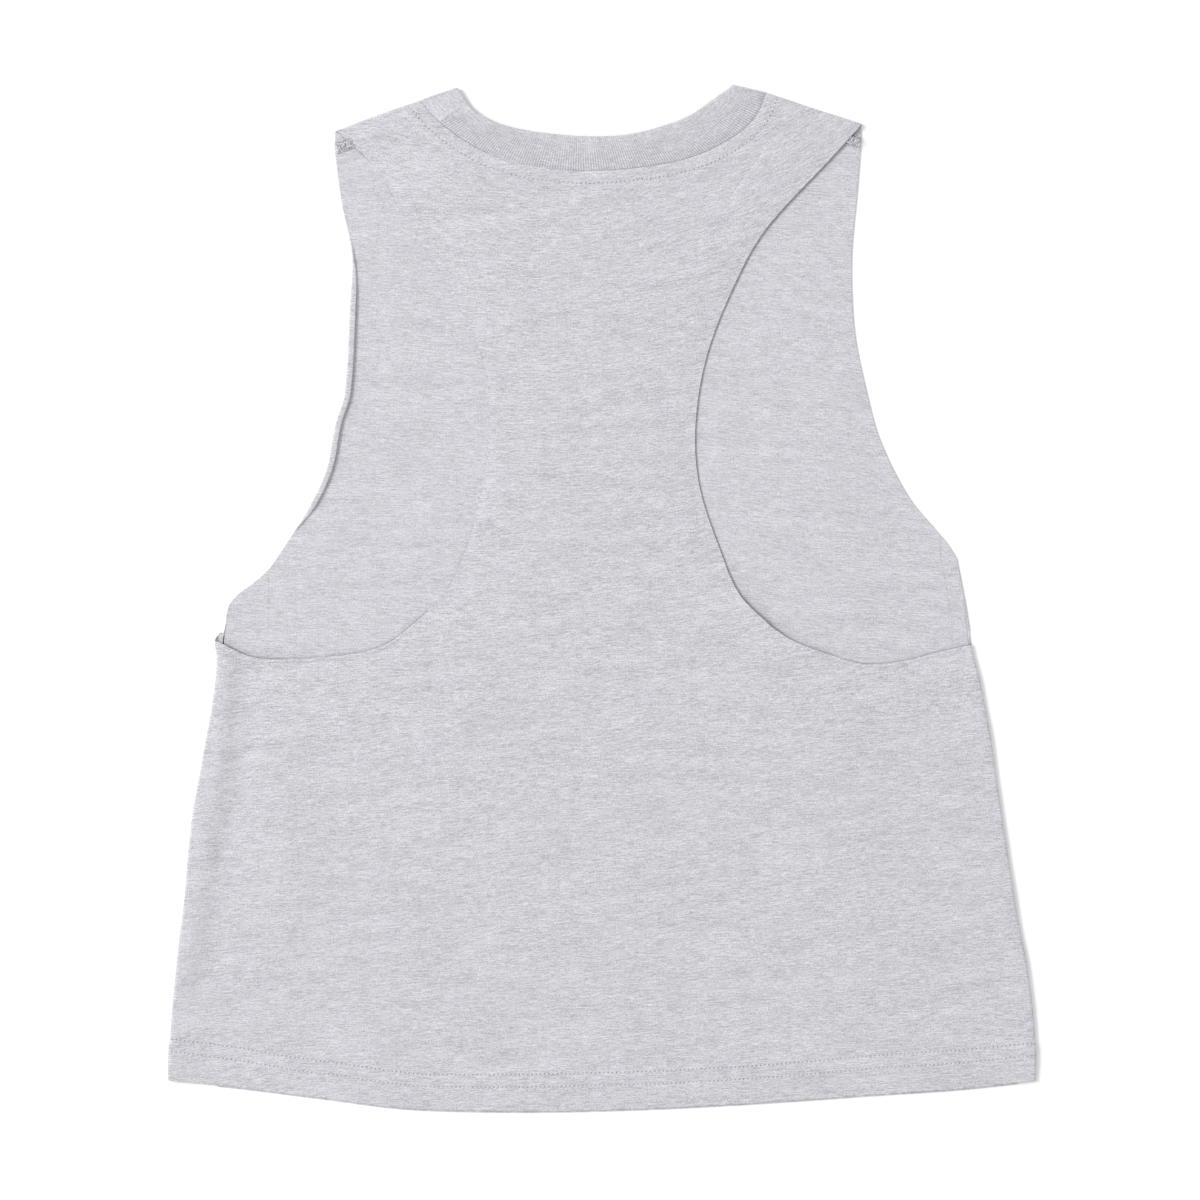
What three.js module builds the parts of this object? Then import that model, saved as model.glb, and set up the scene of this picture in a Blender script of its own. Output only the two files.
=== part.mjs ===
// A cropped racerback tank top in grey marl jersey, laid flat on its front with its back up.
//
// Millimetres. +Z is up from the surface it lies on, +Y runs from the hem to the neck, and +X is to the
// right as seen from above. The origin is on that surface, under the middle of the garment's box.
//
// Three cut pieces make it. The front is the lower layer. The back is the upper layer: it turns under at the
// side folds and over the shoulders, and meets the front at seams on the lower layer. A doubled rib band
// rings the neck. Each piece is worked out as the middle surface of its cloth, and then given a wall.

import * as THREE from "three";

// Walls of the cloth.
const JERSEY_WALL = 1.0;
const HEM_WALL = 1.3;
const BAND_WALL = 1.7;
const SEAM_GAP = 0.35;
const SHOULDER_SEAM_GAP = 0.5;

// The hem's turned-up depth, and the short slope where the second ply ends.
const HEM_DEPTH = 20.5;
const HEM_SLOPE = 1.5;

// Heights of the upper layer's middle surface.
const BACK_REST = 2.05;
const BACK_HEM_RISE = 0.3;
const BACK_SHOULDER_RISE = 0.6;
const SHOULDER_RISE_FROM = 125;
const SHOULDER_RISE_TO = 172;
const LEFT_SIDE_PUFF = 1.0;
const RIGHT_SIDE_PUFF = 0.65;
const SIDE_PUFF_WIDTH = 11;
const SIDE_PUFF_FADE_FROM = -10;
const SIDE_PUFF_FADE_TO = 30;

// The back rises to its neck seam inside an oval round this point: full rise at one radius, none at the other.
const BACK_NECK_RISE = 0.25;
const NECK_OVAL = { x: -4, y: 262, stretch: 1.9, full: 84, none: 112 };

// The neckband's middle surface where it folds at the shoulders, and at the middle of the back neck.
const BAND_FOLD_HEIGHT = 3.05;
const BAND_MIDDLE_HEIGHT = 2.55;

// Shares of the way from the middle of the back neck to a shoulder between which the band rises to its fold.
const BAND_RISE_FROM = 0.35;
const BAND_RISE_TO = 0.95;

// How far the back reaches past each fold on the lower layer.
const LEFT_SIDE_TURN = 24;
const RIGHT_SIDE_TURN = 8;
const SHOULDER_TURN = 9;

// The raw edge of the front's left armhole rolls up over this stretch.
const ROLL_RADIUS = 0.9;
const ROLL_END = 1.5;
const ROLL_LOW = 22;
const ROLL_HIGH = 192;
const ROLL_FADE = 26;

// Outermost lines of the two side folds, from the hem up to the underarm. Above it they guide the cut edge.
const HEM_CORNER = -251.5;
const SIDE_FOLDS = [
  { y: HEM_CORNER, left: -225.7, right: 225.7 },
  { y: -234, left: -225.2, right: 225.6 },
  { y: -200, left: -222.2, right: 222.4 },
  { y: -157, left: -217.4, right: 214.8 },
  { y: -115, left: -213.2, right: 208.5 },
  { y: -74, left: -206.0, right: 202.4 },
  { y: -46, left: -200.9, right: 197.4 },
  { y: -32, left: -199.8, right: 193.8 },
  { y: -22, left: -201.2, right: 191.7 },
  { y: -14, left: -199.3, right: 191.9 },
  { y: 6, left: -199.2, right: 188.8 },
  { y: 22, left: -199.2, right: 185.7 },
];

// The hem's lower edge, from the left corner to the right.
const HEM_EDGE = [
  { x: -225.7, y: -251.4 },
  { x: -188, y: -255.3 },
  { x: -146, y: -260.5 },
  { x: -105, y: -265.7 },
  { x: -63, y: -267.3 },
  { x: -21, y: -267.3 },
  { x: 20, y: -266.2 },
  { x: 62, y: -264.2 },
  { x: 103, y: -261.6 },
  { x: 145, y: -258.6 },
  { x: 186, y: -255.8 },
  { x: 225.7, y: -251.6 },
];

// The back's raw armhole edges. The low stretches run in from each side fold, and the racer stretches rise
// from them to the shoulders.
const BACK_ARMHOLE_LEFT_LOW = [
  { x: -199.5, y: -22.7 },
  { x: -184.6, y: -29.8 },
  { x: -171, y: -31.8 },
  { x: -150, y: -31.2 },
  { x: -124, y: -28 },
  { x: -110, y: -22.8 },
  { x: -97.6, y: -13 },
];
const BACK_ARMHOLE_RIGHT_LOW = [
  { x: 88, y: -15 },
  { x: 98.8, y: -22 },
  { x: 118.6, y: -29.6 },
  { x: 136.9, y: -34.4 },
  { x: 156.8, y: -32.8 },
  { x: 173.2, y: -28.6 },
  { x: 190.2, y: -24.6 },
];
const RACER_LEFT = [
  { y: -13, x: -97.6 },
  { y: 2, x: -81.8 },
  { y: 20, x: -72.6 },
  { y: 36, x: -67.3 },
  { y: 69, x: -60.4 },
  { y: 92, x: -58.6 },
  { y: 114, x: -59.8 },
  { y: 135, x: -65.8 },
  { y: 155, x: -76.4 },
  { y: 181, x: -92 },
  { y: 201, x: -104.2 },
  { y: 223, x: -117 },
  { y: 242.5, x: -137.5 },
];
const RACER_RIGHT = [
  { y: -15, x: 88 },
  { y: 1, x: 72 },
  { y: 22, x: 62.5 },
  { y: 57, x: 50.9 },
  { y: 88, x: 48.5 },
  { y: 125, x: 54.2 },
  { y: 162, x: 68.4 },
  { y: 192, x: 85.3 },
  { y: 229, x: 119.3 },
  { y: 245.3, x: 134.2 },
];

// The front's raw armhole edges, from the top of each side seam to the shoulder.
const FRONT_ARMHOLE_LEFT = [
  { y: 15, x: -172.8 },
  { y: 30, x: -162.8 },
  { y: 48, x: -151.8 },
  { y: 67, x: -143.2 },
  { y: 90, x: -138.7 },
  { y: 106, x: -133.8 },
  { y: 150, x: -131.2 },
  { y: 179, x: -130 },
  { y: 206, x: -135.2 },
  { y: 232, x: -138.7 },
];
const FRONT_ARMHOLE_RIGHT = [
  { y: 33, x: 175.6 },
  { y: 52, x: 159.8 },
  { y: 82, x: 144.6 },
  { y: 110, x: 136.9 },
  { y: 136, x: 131.6 },
  { y: 160, x: 129.8 },
  { y: 182, x: 129.9 },
  { y: 211, x: 132.6 },
  { y: 237, x: 134.7 },
];

// Where the back's turned-under edge ends above each side fold, by the distance in from the fold. Round the
// fold itself, the edge drops to the upper layer's as a power of the turn.
const UNDERARM_DROP = 2.5;
const UNDERARM_LEFT = [
  { in: 0, top: -20.5 },
  { in: 0.5, top: -7 },
  { in: 3, top: -2.8 },
  { in: 8, top: 1.6 },
  { in: 16, top: 7.2 },
  { in: LEFT_SIDE_TURN, top: 14.6 },
];
const UNDERARM_RIGHT = [
  { in: 0, top: 20.5 },
  { in: 4, top: 27.4 },
  { in: RIGHT_SIDE_TURN, top: 32.4 },
];

// Seam between the back and the neckband, and the band's folded edge, from the left shoulder fold to the right.
const BACK_NECK_SEAM = [
  { x: -93.4, y: 257.6 },
  { x: -86.9, y: 249.9 },
  { x: -71, y: 237.5 },
  { x: -51.1, y: 228 },
  { x: -22.3, y: 222.8 },
  { x: 10, y: 222.8 },
  { x: 47.2, y: 229.4 },
  { x: 69.4, y: 240.5 },
  { x: 80, y: 250.5 },
  { x: 84.8, y: 261.3 },
];
const BACK_NECK_EDGE = [
  { x: -74.4, y: 264 },
  { x: -68.1, y: 254.9 },
  { x: -54.1, y: 246.9 },
  { x: -22.3, y: 241 },
  { x: 10, y: 240.6 },
  { x: 31.2, y: 245.3 },
  { x: 46.1, y: 251.1 },
  { x: 59.5, y: 260.4 },
  { x: 66.9, y: 265.4 },
];

// The same two lines on the lower layer, from the left shoulder fold down round the front neck to the right.
const FRONT_NECK_SEAM = [
  { x: -93.4, y: 257.6 },
  { x: -90.4, y: 249.1 },
  { x: -85.5, y: 230 },
  { x: -74, y: 204 },
  { x: -50, y: 181 },
  { x: -4, y: 171 },
  { x: 42, y: 182 },
  { x: 66, y: 205 },
  { x: 77.5, y: 231 },
  { x: 81.95, y: 252.6 },
  { x: 84.8, y: 261.3 },
];
const FRONT_NECK_EDGE = [
  { x: -74.4, y: 264 },
  { x: -71.6, y: 255.4 },
  { x: -67.5, y: 236 },
  { x: -58, y: 214.5 },
  { x: -38.5, y: 197.5 },
  { x: -4, y: 189.2 },
  { x: 30.5, y: 198 },
  { x: 50, y: 215 },
  { x: 59.5, y: 237 },
  { x: 64.4, y: 256.6 },
  { x: 66.9, y: 265.4 },
];

// Soft forms of the upper layer: a ridge or trough between two points, as wide as its radius, with its height.
const SOFT_FORMS = [
  { x1: 66, y1: 12, x2: 84, y2: -20, radius: 15, height: 1.5 },
  { x1: -183, y1: -45, x2: -199, y2: -190, radius: 12, height: -0.25 },
  { x1: -84, y1: 4, x2: -86, y2: -60, radius: 9, height: -0.2 },
  { x1: -62, y1: -40, x2: -112, y2: -215, radius: 24, height: 0.45 },
  { x1: 96, y1: -60, x2: 150, y2: -222, radius: 26, height: 0.5 },
  { x1: 30, y1: -90, x2: 22, y2: -240, radius: 22, height: 0.3 },
  { x1: 120, y1: -52, x2: 186, y2: -66, radius: 10, height: 0.3 },
];

// How finely each piece is divided. The yoke is the cloth under the neck and shoulders, with rows of its own.
const HEM_ROWS = [0, 1.5, HEM_DEPTH - HEM_SLOPE, HEM_DEPTH + HEM_SLOPE];
const BODY_STEPS = 13;
const RACER_STEPS = 14;
const YOKE_DEPTH = 14;
const FRONT_ARMHOLE_STEPS = 17;
const SIDE_COLUMNS = 6;
const SHOULDER_COLUMNS = 3;
const NECK_COLUMNS = 20;
const FOLD_STEPS = 5;
const ROLL_STEPS = 6;
const ROLL_PARTS = 24;
const BAND_COLUMNS = 3;

const UP = new THREE.Vector3(0, 0, 1);
const DOWN = new THREE.Vector3(0, 0, -1);

const mix = THREE.MathUtils.lerp;
const smooth = THREE.MathUtils.smoothstep;
const last = (list) => list[list.length - 1];
const steps = (count) => Array.from({ length: count + 1 }, (_, i) => i / count);

/** A smooth function through table rows, which gives the column value for a number in the rising column key. */
function through(rows, key, value) {
  const k = rows.map((row) => row[key]);
  const v = rows.map((row) => row[value]);
  const slope = k.map((_, i) => {
    const a = Math.max(i - 1, 0);
    const b = Math.min(i + 1, k.length - 1);
    return (v[b] - v[a]) / (k[b] - k[a]);
  });
  return (at) => {
    let i = 1;
    while (i < k.length - 1 && at > k[i]) i += 1;
    const h = k[i] - k[i - 1];
    const t = THREE.MathUtils.clamp((at - k[i - 1]) / h, 0, 1);
    const blend = t * t * (3 - 2 * t);
    const pull = slope[i - 1] * t * (1 - t) ** 2 - slope[i] * t * t * (1 - t);
    return mix(v[i - 1], v[i], blend) + h * pull;
  };
}

/** A plan curve through table rows. */
function planCurve(rows) {
  const points = rows.map((row) => new THREE.Vector3(row.x, row.y, 0));
  return new THREE.CatmullRomCurve3(points, false, "centripetal");
}

/** The plan point of a curve at a share of its length, moved to the right of its direction. */
function besideCurve(curve, share, distance) {
  const p = curve.getPointAt(share);
  const d = curve.getTangentAt(share);
  return new THREE.Vector3(p.x + d.y * distance, p.y - d.x * distance, 0);
}

/** Cloth as a middle surface of points and four-sided faces, which solid() gives its wall. */
class Cloth {
  points = [];
  faces = [];

  /** Adds a point. Without a normal of its own, it takes the mean of its faces. */
  add(x, y, z, wall, normal = null) {
    this.points.push({ at: new THREE.Vector3(x, y, z), wall, normal });
    return this.points.length - 1;
  }

  /** Adds the faces of a grid of point numbers, whose rows and columns turn the faces outwards. */
  cover(grid) {
    for (let i = 0; i + 1 < grid.length; i += 1) {
      for (let j = 0; j + 1 < grid[i].length; j += 1) {
        this.faces.push([grid[i][j], grid[i][j + 1], grid[i + 1][j + 1], grid[i + 1][j]]);
      }
    }
  }

  /** Each point's direction out of the cloth. */
  normals() {
    const sums = this.points.map(() => new THREE.Vector3());
    for (const face of this.faces) {
      const [a, b, c, d] = face.map((i) => this.points[i].at);
      const turn = new THREE.Vector3().subVectors(c, a).cross(new THREE.Vector3().subVectors(d, b));
      for (const i of face) sums[i].add(turn);
    }
    return this.points.map((point, i) => (point.normal ? point.normal : sums[i].normalize()));
  }

  /** A closed wall: both sides of the cloth, and a rim along every free edge. */
  solid() {
    const normals = this.normals();
    const count = this.points.length;
    const place = (side) => (point, i) => point.at.clone().addScaledVector(normals[i], (side * point.wall) / 2);
    const vertices = [...this.points.map(place(1)), ...this.points.map(place(-1))];
    const triangles = [];
    const edges = new Map();
    for (const [a, b, c, d] of this.faces) {
      triangles.push(a, b, c, a, c, d);
      triangles.push(a + count, c + count, b + count, a + count, d + count, c + count);
      for (const [from, to] of [[a, b], [b, c], [c, d], [d, a]]) edges.set(`${from} ${to}`, [from, to]);
    }
    for (const [from, to] of edges.values()) {
      if (edges.has(`${to} ${from}`)) continue;
      triangles.push(to, from, from + count, to, from + count, to + count);
    }
    const geometry = new THREE.BufferGeometry().setFromPoints(vertices);
    geometry.setIndex(triangles);
    return geometry;
  }
}

const hemHeight = through(HEM_EDGE, "x", "y");
const leftFold = through(SIDE_FOLDS, "y", "left");
const rightFold = through(SIDE_FOLDS, "y", "right");

/** How far a height is above the hem's edge, as the share of the second ply that is left there. */
function hemShare(x, y) {
  return 1 - smooth(y - hemHeight(x), HEM_DEPTH - HEM_SLOPE, HEM_DEPTH + HEM_SLOPE);
}

function jerseyWall(x, y) {
  return mix(JERSEY_WALL, HEM_WALL, hemShare(x, y));
}

/** Height that the soft forms add at a plan point. */
function softForms(x, y) {
  let height = 0;
  for (const form of SOFT_FORMS) {
    const dx = form.x2 - form.x1;
    const dy = form.y2 - form.y1;
    const share = THREE.MathUtils.clamp(((x - form.x1) * dx + (y - form.y1) * dy) / (dx * dx + dy * dy), 0, 1);
    const away = Math.hypot(x - form.x1 - share * dx, y - form.y1 - share * dy) / form.radius;
    height += form.height * Math.exp(-away * away);
  }
  return height;
}

const puff = (distance) => Math.exp(-((distance / SIDE_PUFF_WIDTH) ** 2));

/** Height of the upper layer's middle surface. */
function backHeight(x, y) {
  const fromNeck = Math.hypot(x - NECK_OVAL.x, (y - NECK_OVAL.y) * NECK_OVAL.stretch);
  const puffs = LEFT_SIDE_PUFF * puff(x - leftFold(y)) + RIGHT_SIDE_PUFF * puff(rightFold(y) - x);
  return (
    BACK_REST +
    BACK_HEM_RISE * hemShare(x, y) +
    BACK_SHOULDER_RISE * smooth(y, SHOULDER_RISE_FROM, SHOULDER_RISE_TO) +
    BACK_NECK_RISE * (1 - smooth(fromNeck, NECK_OVAL.full, NECK_OVAL.none)) +
    puffs * (1 - smooth(y, SIDE_PUFF_FADE_FROM, SIDE_PUFF_FADE_TO)) +
    softForms(x, y)
  );
}

/**
 * The half turn of cloth at a fold, from the upper layer to the lower.
 * out is the plan direction out of the fold, and (x, y) is the line that the half turn is centred on.
 */
function foldPoint(cloth, x, y, out, upper, angle, wall) {
  const radius = (upper - wall / 2) / 2;
  const reach = Math.cos(angle) * radius;
  const normal = new THREE.Vector3(out.x * Math.cos(angle), out.y * Math.cos(angle), Math.sin(angle));
  const z = wall / 2 + radius * (1 + Math.sin(angle));
  return cloth.add(x + out.x * reach, y + out.y * reach, z, wall, normal);
}

/** How far a fold reaches past the line that it is centred on. */
const foldReach = (upper, wall) => (upper - wall / 2) / 2 + wall / 2;

const LEFT_FOLD_REACH = foldReach(BACK_REST + LEFT_SIDE_PUFF, JERSEY_WALL);
const RIGHT_FOLD_REACH = foldReach(BACK_REST + RIGHT_SIDE_PUFF, JERSEY_WALL);
const leftLine = (y) => leftFold(y) + LEFT_FOLD_REACH;
const rightLine = (y) => rightFold(y) - RIGHT_FOLD_REACH;

/** Heights up a column, from the hem's edge to the column's top: the hem's rows first, then even steps. */
function columnHeights(foot, top, count) {
  const from = foot + last(HEM_ROWS);
  return [...HEM_ROWS.map((row) => foot + row), ...steps(count).slice(1).map((share) => mix(from, top, share))];
}

/** Turns columns of point numbers into rows. */
const rowsOf = (columns) => columns[0].map((_, i) => columns.map((column) => column[i]));

/** Columns of the back where it is turned under at a side, from the side seam to the fold. */
function turnedColumns(cloth, line, inward, table) {
  const top = through(table, "in", "top");
  return table.map(({ in: distance }) => {
    const foot = hemHeight(line(HEM_CORNER) + inward * distance);
    return columnHeights(foot, top(distance), BODY_STEPS).map((y) => {
      const x = line(y) + inward * distance;
      const wall = jerseyWall(x, y);
      return cloth.add(x, y, wall / 2, wall, DOWN);
    });
  });
}

/** Columns of the back round a side fold, between its lower and upper lines. */
function foldColumns(cloth, line, outward, topLow, topHigh) {
  const out = new THREE.Vector3(outward, 0, 0);
  return steps(FOLD_STEPS).slice(1, -1).map((share) => {
    const angle = mix(-Math.PI / 2, Math.PI / 2, share);
    const top = mix(topHigh, topLow, (1 - share) ** UNDERARM_DROP);
    return columnHeights(hemHeight(line(HEM_CORNER)), top, BODY_STEPS).map((y) => {
      const wall = jerseyWall(line(y), y);
      return foldPoint(cloth, line(y), y, out, backHeight(line(y), y), angle, wall);
    });
  });
}

/** Columns of the back's upper layer, from left to right. The middle ones end at the racer's base. */
function upperColumns(cloth) {
  const lowLeft = through(BACK_ARMHOLE_LEFT_LOW, "x", "y");
  const lowRight = through(BACK_ARMHOLE_RIGHT_LOW, "x", "y");
  const baseLeft = last(BACK_ARMHOLE_LEFT_LOW);
  const baseRight = BACK_ARMHOLE_RIGHT_LOW[0];
  const racerColumns = 2 * SHOULDER_COLUMNS + NECK_COLUMNS;
  const leftEnd = leftLine(BACK_ARMHOLE_LEFT_LOW[0].y);
  const rightEnd = rightLine(last(BACK_ARMHOLE_RIGHT_LOW).y);
  const tops = [
    ...steps(SIDE_COLUMNS).slice(0, -1).map((share) => mix(leftEnd, baseLeft.x, share)),
    ...steps(racerColumns).map((share) => mix(baseLeft.x, baseRight.x, share)),
    ...steps(SIDE_COLUMNS).slice(1).map((share) => mix(baseRight.x, rightEnd, share)),
  ];
  return tops.map((topX) => {
    let top = mix(baseLeft.y, baseRight.y, (topX - baseLeft.x) / (baseRight.x - baseLeft.x));
    if (topX < baseLeft.x) top = lowLeft(topX);
    if (topX > baseRight.x) top = lowRight(topX);
    const share = THREE.MathUtils.clamp((topX - leftLine(top)) / (rightLine(top) - leftLine(top)), 0, 1);
    const foot = hemHeight(mix(leftLine(HEM_CORNER), rightLine(HEM_CORNER), share));
    return columnHeights(foot, top, BODY_STEPS).map((y) => {
      const x = mix(leftLine(y), rightLine(y), share);
      return cloth.add(x, y, backHeight(x, y), jerseyWall(x, y));
    });
  });
}

/** One shoulder fold: the plan line that it is centred on, and the direction out of it. */
function shoulderFold(tip, neck) {
  const out = new THREE.Vector3(tip.y - neck.y, neck.x - tip.x, 0).normalize();
  if (out.y < 0) out.negate();
  return { tip, neck, out };
}

const backNeckSeam = planCurve(BACK_NECK_SEAM);
const frontNeckSeam = planCurve(FRONT_NECK_SEAM);
const LEFT_SHOULDER = shoulderFold(last(RACER_LEFT), besideCurve(backNeckSeam, 0, SEAM_GAP));
const RIGHT_SHOULDER = shoulderFold(last(RACER_RIGHT), besideCurve(backNeckSeam, 1, SEAM_GAP));

const racerLeft = through(RACER_LEFT, "y", "x");
const racerRight = through(RACER_RIGHT, "y", "x");

/** Even plan points from one point to another. */
function along(from, to, count) {
  return steps(count).map((share) => ({ x: mix(from.x, to.x, share), y: mix(from.y, to.y, share) }));
}

/** As many plan points, spaced evenly along a smooth curve through the given ones. */
function evenly(points) {
  return planCurve(points).getSpacedPoints(points.length - 1);
}

/**
 * Plan points of the racer's top, moved down into the cloth by a distance: from the left armhole along the left
 * shoulder fold, the neck seam and the right shoulder fold.
 */
function racerTop(inward) {
  const neck = steps(NECK_COLUMNS).map((share) => besideCurve(backNeckSeam, share, SEAM_GAP + inward));
  const tip = (fold, armhole) => {
    const y = fold.tip.y - fold.out.y * inward;
    return { x: armhole(y), y };
  };
  const corner = (point, fold) => point.clone().addScaledVector(fold.out, -inward);
  return [
    ...along(tip(LEFT_SHOULDER, racerLeft), corner(neck[0], LEFT_SHOULDER), SHOULDER_COLUMNS),
    ...neck.slice(1, -1),
    ...along(corner(last(neck), RIGHT_SHOULDER), tip(RIGHT_SHOULDER, racerRight), SHOULDER_COLUMNS),
  ];
}

/** Rows of points between a base row and a top row, held in between two edges that are given by height. */
function patch(base, top, leftEdge, rightEdge, count) {
  const lastColumn = base.length - 1;
  return steps(count).slice(1).map((v) => {
    const yLeft = mix(base[0].y, top[0].y, v);
    const yRight = mix(base[lastColumn].y, top[lastColumn].y, v);
    return base.map((foot, j) => {
      const u = j / lastColumn;
      const leftOff = leftEdge(yLeft) - mix(base[0].x, top[0].x, v);
      const rightOff = rightEdge(yRight) - mix(base[lastColumn].x, top[lastColumn].x, v);
      return { x: mix(foot.x, top[j].x, v) + mix(leftOff, rightOff, u), y: mix(foot.y, top[j].y, v) };
    });
  });
}

/** The back's turn over one shoulder: from the upper layer round the fold to the seam on the lower layer. */
function shoulderTurn(cloth, topRow, fold, armholeX, neckIsLast) {
  const rows = [topRow.map((point) => point.number)];
  const columns = topRow.length - 1;
  const outerShare = (j) => (neckIsLast ? 1 - j / columns : j / columns);
  for (const share of steps(FOLD_STEPS).slice(1)) {
    const angle = mix(Math.PI / 2, -Math.PI / 2, share);
    rows.push(topRow.map(({ x, y }, j) => {
      const shift = (armholeX(y) - fold.tip.x) * outerShare(j) * share;
      return foldPoint(cloth, x + shift, y, fold.out, backHeight(x, y), angle, JERSEY_WALL);
    }));
  }
  for (const distance of [SHOULDER_TURN / 2, SHOULDER_TURN]) {
    rows.push(topRow.map((point, j) => {
      const y = point.y - fold.out.y * distance;
      const straight = point.x - fold.out.x * distance;
      const edge = fold.tip.x - fold.out.x * distance;
      const x = straight + (armholeX(y) - edge) * outerShare(j);
      return cloth.add(x, y, JERSEY_WALL / 2, JERSEY_WALL, DOWN);
    }));
  }
  cloth.cover(rows);
}

const frontArmholeLeft = through(FRONT_ARMHOLE_LEFT, "y", "x");
const frontArmholeRight = through(FRONT_ARMHOLE_RIGHT, "y", "x");

function backPanel() {
  const cloth = new Cloth();
  const upper = upperColumns(cloth);
  const columns = [
    ...turnedColumns(cloth, leftLine, 1, UNDERARM_LEFT).reverse(),
    ...foldColumns(cloth, leftLine, -1, UNDERARM_LEFT[0].top, BACK_ARMHOLE_LEFT_LOW[0].y),
    ...upper,
    ...foldColumns(cloth, rightLine, 1, UNDERARM_RIGHT[0].top, last(BACK_ARMHOLE_RIGHT_LOW).y).reverse(),
    ...turnedColumns(cloth, rightLine, -1, UNDERARM_RIGHT),
  ];
  cloth.cover(rowsOf(columns));

  const baseNumbers = upper.slice(SIDE_COLUMNS, upper.length - SIDE_COLUMNS).map(last);
  const base = baseNumbers.map((number) => ({ x: cloth.points[number].at.x, y: cloth.points[number].at.y }));
  const top = racerTop(0);
  const yoke = evenly(racerTop(YOKE_DEPTH));
  const racer = [
    ...patch(base, yoke, racerLeft, racerRight, RACER_STEPS),
    yoke.map(({ x, y }, j) => ({ x: mix(x, top[j].x, 0.5), y: mix(y, top[j].y, 0.5) })),
    top,
  ];
  const rows = racer.map((row, i) => {
    const normal = i === racer.length - 1 ? UP : null;
    return row.map(({ x, y }) => ({ x, y, number: cloth.add(x, y, backHeight(x, y), JERSEY_WALL, normal) }));
  });
  cloth.cover([baseNumbers, ...rows.map((row) => row.map((point) => point.number))]);

  shoulderTurn(cloth, last(rows).slice(0, SHOULDER_COLUMNS + 1), LEFT_SHOULDER, frontArmholeLeft, true);
  shoulderTurn(cloth, last(rows).slice(-SHOULDER_COLUMNS - 1), RIGHT_SHOULDER, frontArmholeRight, false);
  return cloth.solid();
}

/** Steps across the rolled armhole edge: how far in from the outline, how high, and how far turned. */
function rollSection(amount) {
  const arc = Math.PI * ROLL_RADIUS;
  const length = arc + ROLL_END;
  const section = [{ out: 0, up: 0, turn: 0 }];
  let here = { out: 0, up: 0, turn: 0 };
  const step = length / (ROLL_STEPS * ROLL_PARTS);
  for (let i = 1; i <= ROLL_STEPS * ROLL_PARTS; i += 1) {
    const turn = (Math.min(i * step, arc) / ROLL_RADIUS) * amount;
    here = { out: here.out + Math.cos(turn) * step, up: here.up + Math.sin(turn) * step, turn };
    if (i % ROLL_PARTS === 0) section.push(here);
  }
  const reach = Math.max(...section.map(({ out, turn }) => out + (Math.sin(turn) * JERSEY_WALL) / 2));
  return section.map(({ out, up, turn }) => ({ inside: reach - out, up, turn }));
}

/** How far the front's left edge is rolled at a height: none at the seams, fully in between. */
function rollAmount(y) {
  return smooth(y, ROLL_LOW, ROLL_LOW + ROLL_FADE) * (1 - smooth(y, ROLL_HIGH - ROLL_FADE, ROLL_HIGH));
}

/** One row of the front: the rolled or flat left edge, then even or given columns to the right edge. */
function frontRow(cloth, places) {
  const [edge, ...rest] = places;
  const section = rollSection(rollAmount(edge.y));
  const slope = rest[0].y - edge.y;
  const rolled = section.map(({ inside, up, turn }) => {
    const x = edge.x + inside;
    const y = edge.y + slope * (inside / (rest[0].x - edge.x));
    const wall = jerseyWall(x, y);
    const normal = new THREE.Vector3(Math.sin(turn), 0, Math.cos(turn));
    return cloth.add(x, y, wall / 2 + up, wall, normal);
  });
  const flat = rest.map(({ x, y }) => {
    const wall = jerseyWall(x, y);
    return cloth.add(x, y, wall / 2, wall, UP);
  });
  return [...rolled.reverse(), ...flat];
}

/** Shares of the front neck seam's length between the two shoulder seams. */
function frontNeckShares() {
  const start = (SHOULDER_TURN + SHOULDER_SEAM_GAP) / frontNeckSeam.getLength();
  return steps(NECK_COLUMNS).map((share) => mix(start, 1 - start, share));
}

/** Plan points of the front's top: the left shoulder seam, the neck seam and the right shoulder seam. */
function frontTop() {
  const neck = frontNeckShares().map((share) => besideCurve(frontNeckSeam, share, SEAM_GAP));
  const tipY = (fold) => fold.tip.y - fold.out.y * (SHOULDER_TURN + SHOULDER_SEAM_GAP);
  const left = { x: frontArmholeLeft(tipY(LEFT_SHOULDER)), y: tipY(LEFT_SHOULDER) };
  const right = { x: frontArmholeRight(tipY(RIGHT_SHOULDER)), y: tipY(RIGHT_SHOULDER) };
  return [
    ...along(left, neck[0], SHOULDER_COLUMNS),
    ...neck.slice(1, -1),
    ...along(last(neck), right, SHOULDER_COLUMNS),
  ];
}

function frontPanel() {
  const cloth = new Cloth();
  const columns = 2 * SHOULDER_COLUMNS + NECK_COLUMNS;
  const leftSeam = (y) => leftLine(y) + LEFT_SIDE_TURN + SEAM_GAP;
  const rightSeam = (y) => rightLine(y) - RIGHT_SIDE_TURN - SEAM_GAP;
  const topLeft = last(UNDERARM_LEFT).top;
  const topRight = last(UNDERARM_RIGHT).top;
  const heights = steps(columns).map((share) => {
    const foot = hemHeight(mix(leftSeam(HEM_CORNER), rightSeam(HEM_CORNER), share));
    return columnHeights(foot, mix(topLeft, topRight, share), BODY_STEPS);
  });
  const lower = heights[0].map((_, i) =>
    steps(columns).map((share, j) => {
      const y = heights[j][i];
      return { x: mix(leftSeam(y), rightSeam(y), share), y };
    }),
  );
  const upper = patch(last(lower), frontTop(), frontArmholeLeft, frontArmholeRight, FRONT_ARMHOLE_STEPS);
  cloth.cover([...lower, ...upper].map((row) => frontRow(cloth, row)));
  return cloth.solid();
}

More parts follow.
